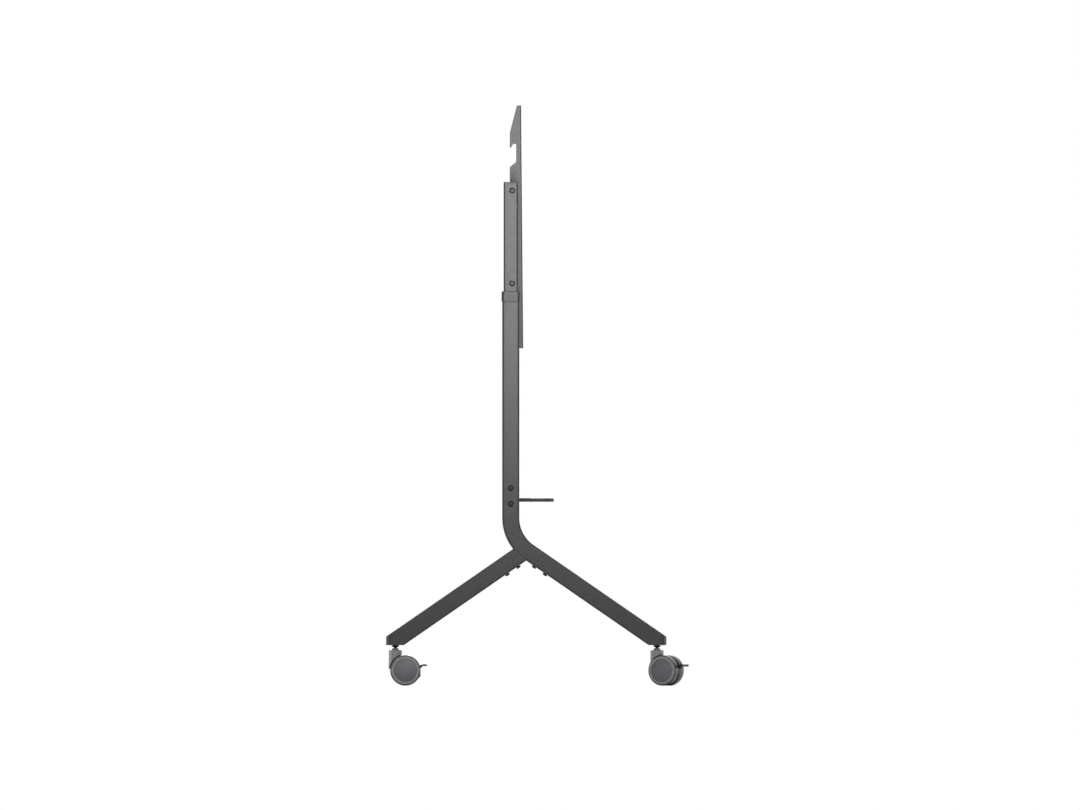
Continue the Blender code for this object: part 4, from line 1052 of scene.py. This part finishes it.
def brake_pedal():
    """Pedal on its pivot: a wide curved tongue with grip grooves, a narrow neck and a hub."""
    start = BUMPER_REACH + 0.0012 - PEDAL_REACH
    half = PEDAL_WIDTH / 2 - 0.0010
    length = PEDAL_LENGTH - 0.0008
    sheet, top = 0.0042, 0.0062
    first, groove, pitch = 0.0066, 0.0008, 0.0016
    tongue = block("brake_pedal", (-half, -length, top - sheet), (half, -start, top))
    curve = [
        (start + 0.0012, 0.0009), (start + 0.0030, 0.0004), (start + 0.0055, 0.0001),
        (length - 0.0022, 0.0001), (length - 0.0010, 0.0006),
    ]
    grooves = [start + first + pitch * n for n in range(4)]
    with editing(tongue) as work:
        sides = [reach + width for reach in grooves for width in (0, groove)]
        for reach in [reach for reach, _ in curve] + sides:
            score((0, -reach, 0), (0, 1, 0))
        for reach, drop in [(start, 0.0017)] + curve + [(length, 0.0016)]:
            work.pick("VERT", lambda v: abs(v.co.y + reach) < NEAR)
            shift((0, 0, -drop))
        work.pick(
            "EDGE", lambda e: middle(e).y < NEAR - length and abs(middle(e).x) > half * 0.9
            and runs_along(e, (0, 0, 1)),
        )
        round_off(0.004, 8)

        def on_groove(face):
            centre = middle(face)
            return face.normal.z > 0.7 and any(
                reach < -centre.y < reach + groove for reach in grooves
            )
        work.pick("FACE", on_groove)
        bpy.ops.mesh.inset(thickness=0.0002, depth=0)
        push((0, 0, -0.0006))
    outward(tongue)
    eased(tongue, 0.0005, degrees=40)
    neck = block("neck", (-0.0020, -start - 0.0026, -0.0032), (0.0020, 0.0018, 0.0034))
    with editing(neck) as work:
        work.pick("VERT", lambda v: v.co.y < -0.004 and v.co.z < 0)
        shift((0, 0, 0.0012))
        work.pick("VERT", lambda v: v.co.y < -0.004 and v.co.z > 0)
        shift((0, 0, 0.0014))
    hub = rod("hub", 0.0040, (-0.0022, 0, 0), (0.0022, 0, 0))
    pin = rod("pin", 0.0015, (-0.0045, 0, 0), (0.0045, 0, 0), 24)
    return joined(tongue, eased(neck, 0.0004), eased(hub, 0.0003), pin)


# Putting the stand together

def copies(pattern, slot_name, places):
    """Puts a copy of a piece in each of its places, given as name: (matrix, body, node)."""
    for name, (matrix, body, node_name) in places.items():
        finished(twin(pattern, name, matrix), body, slot_name, node_name)
    bpy.data.objects.remove(pattern)


def pair(pattern, body, slot_name, name, node_name, x=POST_X):
    """A piece made on the middle plane, put on both sides, where its body may differ."""
    copies(pattern, slot_name, {
        f"{name}_{label}": (at_side(side, x), body.format(label), f"{node_name}_{label}")
        for label, side in SIDES.items()
    })


def build_base():
    steel = "powder_coated_steel"
    pair(bent_post(), "base", steel, "bent_post", "post_leg")
    pair(rear_leg(), "base", steel, "splayed_leg", "rear_leg")
    pair(collar(), "base", "collar_nylon", "sleeve", "collar")
    copies(leg_end(), steel, {
        f"nose_{end}_{label}": (at_side(side) @ turn, "base", f"leg_end_{end}_{label}")
        for end, turn in leg_turns() for label, side in SIDES.items()
    })
    finished(crossbar(), "base", steel, "crossbar").name = "beam"
    finished(shelf(), "base", steel, "shelf").name = "tray"


def build_lift():
    steel = "powder_coated_steel"
    pair(inner_tube(), "lift", steel, "telescopic_tube", "inner_tube")
    pair(tube_cap(), "lift", "collar_nylon", "tube_plug", "tube_cap")
    for name in ("upper_rail", "lower_rail"):
        finished(rail(name), "lift", steel, name).name = f"folded_{name}"


def build_arms():
    pair(display_arm(), "arm_{}", "powder_coated_steel", "hooked_arm", "display_arm", ARM_X)


def side_bolt_place(name, faces):
    """Where a sideways bolt's head sits, from its node's box, as a matrix."""
    low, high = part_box(name)
    crown = high.x if faces > 0 else low.x
    seat = (crown - faces * BOLT_HEAD_HEIGHT, (low.y + high.y) / 2, (low.z + high.z) / 2)
    turn = Vector((faces, 0, 0)).to_track_quat("Z", "X").to_matrix().to_4x4()
    return Matrix.Translation(seat) @ turn


def screws(places, **size):
    """Screws of one size, each for its own node, given as node: (matrix, body)."""
    copies(button_screw(**size), "black_zinc_steel", {
        f"button_{name}": (matrix, body, name) for name, (matrix, body) in places.items()
    })


def build_screws():
    bolt = {"radius": 0.0070, "height": BOLT_HEAD_HEIGHT, "shank": 0.0040, "socket": 0.0020}
    places = {}
    for label, side in SIDES.items():
        for kind, body in (("crossbar_bolt", "base"), ("rail_bolt", "lift")):
            for height in ("upper", "lower"):
                name = f"{kind}_{height}_{label}"
                places[name] = (side_bolt_place(name, side), body)
    screws(places, length=0.011, **bolt)
    screws({
        f"clamp_screw_{label}": (side_bolt_place(f"clamp_screw_{label}", -side), "base")
        for label, side in SIDES.items()
    }, length=0.0095, **bolt)
    places = {}
    first, pitch = 0.0244, 0.0322     # down the leg's underside
    facing = (-OFF_LEG).to_track_quat("Z", "X").to_matrix().to_4x4()
    apex = Vector((0, APEX_Y, APEX_Z))
    for label, side in SIDES.items():
        out = Matrix.Translation((side * POST_X, 0, 0))
        for end, turn in leg_turns():
            for number, order in enumerate(("upper", "lower")):
                seat = apex + (first + pitch * number) * ALONG_LEG - SEAM * OFF_LEG
                places[f"leg_screw_{end}_{order}_{label}"] = (
                    out @ turn @ Matrix.Translation(seat) @ facing, "base"
                )
    screws(places, radius=0.0060, height=0.0045, shank=0.0030, socket=0.0023, length=0.0086)


def build_casters():
    stems, hoods, wheels, pedals = {}, {}, {}, {}
    axle = Matrix.Translation((0, -TRAIL, AXLE_Z))
    other_side = Matrix.Rotation(math.pi, 4, "Z")
    for end, swivel in (("front", FRONT_SWIVEL), ("rear", 0.0)):
        for label, side in SIDES.items():
            name = f"{end}_{label}"
            low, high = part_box(f"caster_stem_{name}")
            spot = Matrix.Translation(((low.x + high.x) / 2, (low.y + high.y) / 2, 0))
            place = spot @ Matrix.Rotation(side * swivel, 4, "Z")
            body = f"caster_{name}"
            stems[f"stem_{name}"] = (spot, "base", f"caster_stem_{name}")
            hoods[f"hood_{name}"] = (place, body, f"caster_housing_{name}")
            pivot = Matrix.Translation((0, -PEDAL_REACH, PEDAL_Z))
            pedals[f"pedal_{name}"] = (place @ pivot, f"pedal_{name}", f"brake_pedal_{name}")
            for hand, turn in (("right", Matrix.Identity(4)), ("left", other_side)):
                wheels[f"roller_{name}_{hand}"] = (
                    place @ axle @ turn, f"wheel_{name}_{hand}", f"caster_wheel_{name}_{hand}"
                )
    copies(caster_stem(), "black_zinc_steel", stems)
    copies(caster_housing(), "caster_nylon", hoods)
    copies(brake_pedal(), "black_zinc_steel", pedals)
    copies(caster_wheel(), "wheel_polyurethane", wheels)


build_base()
build_lift()
build_arms()
build_screws()
build_casters()


# Studio

def backdrop():
    """White world for the camera and in reflections, and a weak grey fill for the rest."""
    world = bpy.data.worlds.new("studio")
    world.use_nodes = True
    bpy.context.scene.world = world
    tree = world.node_tree
    tree.nodes.clear()
    fill = node(tree, "ShaderNodeBackground", Color=(1, 1, 1, 1), Strength=0.28)
    white = node(tree, "ShaderNodeBackground", Color=(1, 1, 1, 1), Strength=1.0)
    path = node(tree, "ShaderNodeLightPath").outputs
    seen = path["Is Camera Ray"]
    for ray in ("Is Glossy Ray", "Is Transmission Ray"):
        either = node(tree, "ShaderNodeMath", {0: seen, 1: path[ray]}, operation="MAXIMUM")
        seen = either.outputs[0]
    mix = node(tree, "ShaderNodeMixShader", {0: seen, 1: fill.outputs[0], 2: white.outputs[0]})
    node(tree, "ShaderNodeOutputWorld", {"Surface": mix.outputs[0]})


def stage_plane(name, size, place, turn, colour):
    bpy.ops.mesh.primitive_plane_add(size=1, location=place, rotation=turn)
    bpy.context.object.scale = (*size, 1)
    plane = added(name)
    material, _, _ = new_material(name, colour, 0.9, specular=0.1)
    plane.data.materials.append(material)
    return plane


def studio_floor():
    """Pale floor that takes the stand's shadow and thins out into the white around it."""
    floor = stage_plane("studio_floor", (6, 6), (0, 0, -0.0002), (0, 0, 0), "#f4f4f4")
    tree = floor.data.materials[0].node_tree
    away = node(tree, "ShaderNodeVectorMath", {0: place_on(tree)}, operation="LENGTH")
    fade = node(
        tree, "ShaderNodeMapRange", {"Value": away.outputs["Value"]},
        interpolation_type="SMOOTHSTEP",
        From_Min=0.9, From_Max=2.2,
    )
    clear = node(tree, "ShaderNodeBsdfTransparent")
    pale = tree.nodes["Principled BSDF"].outputs[0]
    mix = node(
        tree, "ShaderNodeMixShader", {0: fade.outputs["Result"], 1: pale, 2: clear.outputs[0]}
    )
    tree.links.new(mix.outputs[0], tree.nodes["Material Output"].inputs["Surface"])


def dark_cards():
    """Black cards beyond the two ends of the stand, seen only in reflections: they keep the
    rounded corners of its tubes dark, as the photograph has them."""
    for y in (-1, 1):
        card = stage_plane(
            "dark_card", (4.0, 4.04), (0, y * 2.6, 2.38), (math.radians(90), 0, 0), "#0c0c0c"
        )
        card.visible_camera = False
        card.visible_diffuse = False
        card.visible_shadow = False
        card.visible_transmission = False


def stood(name, data, place, turn):
    """Puts a lamp or a camera in the studio."""
    thing = bpy.data.objects.new(name, data)
    thing.location = place
    thing.rotation_euler = turn
    bpy.context.scene.collection.objects.link(thing)
    return thing


def softbox(name, place, aim, width, height, power, spread=180):
    light = bpy.data.lights.new(name, "AREA")
    light.shape = "RECTANGLE"
    light.size, light.size_y = width, height
    light.energy = power
    light.spread = math.radians(spread)
    turn = (Vector(aim) - Vector(place)).to_track_quat("-Z", "Y").to_euler()
    stood(name, light, place, turn).visible_camera = False


def studio():
    backdrop()
    studio_floor()
    dark_cards()
    for x in (-1, 1):
        softbox("side_softbox", (x * 2.15, 0, 1.28), (x * 0.35, 0, 1.68), 0.30, 1.3, 11.0, 90)
        softbox("front_softbox", (x * 2.6, 0, 0.5), (0, 0, 0.5), 2.2, 1.0, 7.5)
        for y in (-1, 1):
            softbox("end_softbox", (x * 0.45, y * 2.2, 0.20), (x * 0.34, 0, 0.20), 0.5, 0.3, 3.2)
    for y in (-1, 1):
        softbox("edge_softbox", (0, y * 2.0, 2.5), (0, 0, 0.3), 0.3, 1.2, 34.0)
    softbox("top_softbox", (0, 0, 3.0), (0, 0, 0), 1.2, 1.2, 12.0)


def photo_camera():
    """Looks along +X with no perspective, as the photograph does."""
    metres_per_pixel = 0.00244
    away, centre_y, centre_z = 6, -0.0062, 0.6849
    camera = bpy.data.cameras.new("photo_camera")
    camera.type = "ORTHO"
    camera.ortho_scale = 1080 * metres_per_pixel
    bpy.context.scene.camera = stood(
        "photo_camera", camera, (-away, centre_y, centre_z),
        (math.radians(90), 0, math.radians(-90)),
    )


bpy.context.scene.view_settings.view_transform = "Standard"
studio()
photo_camera()
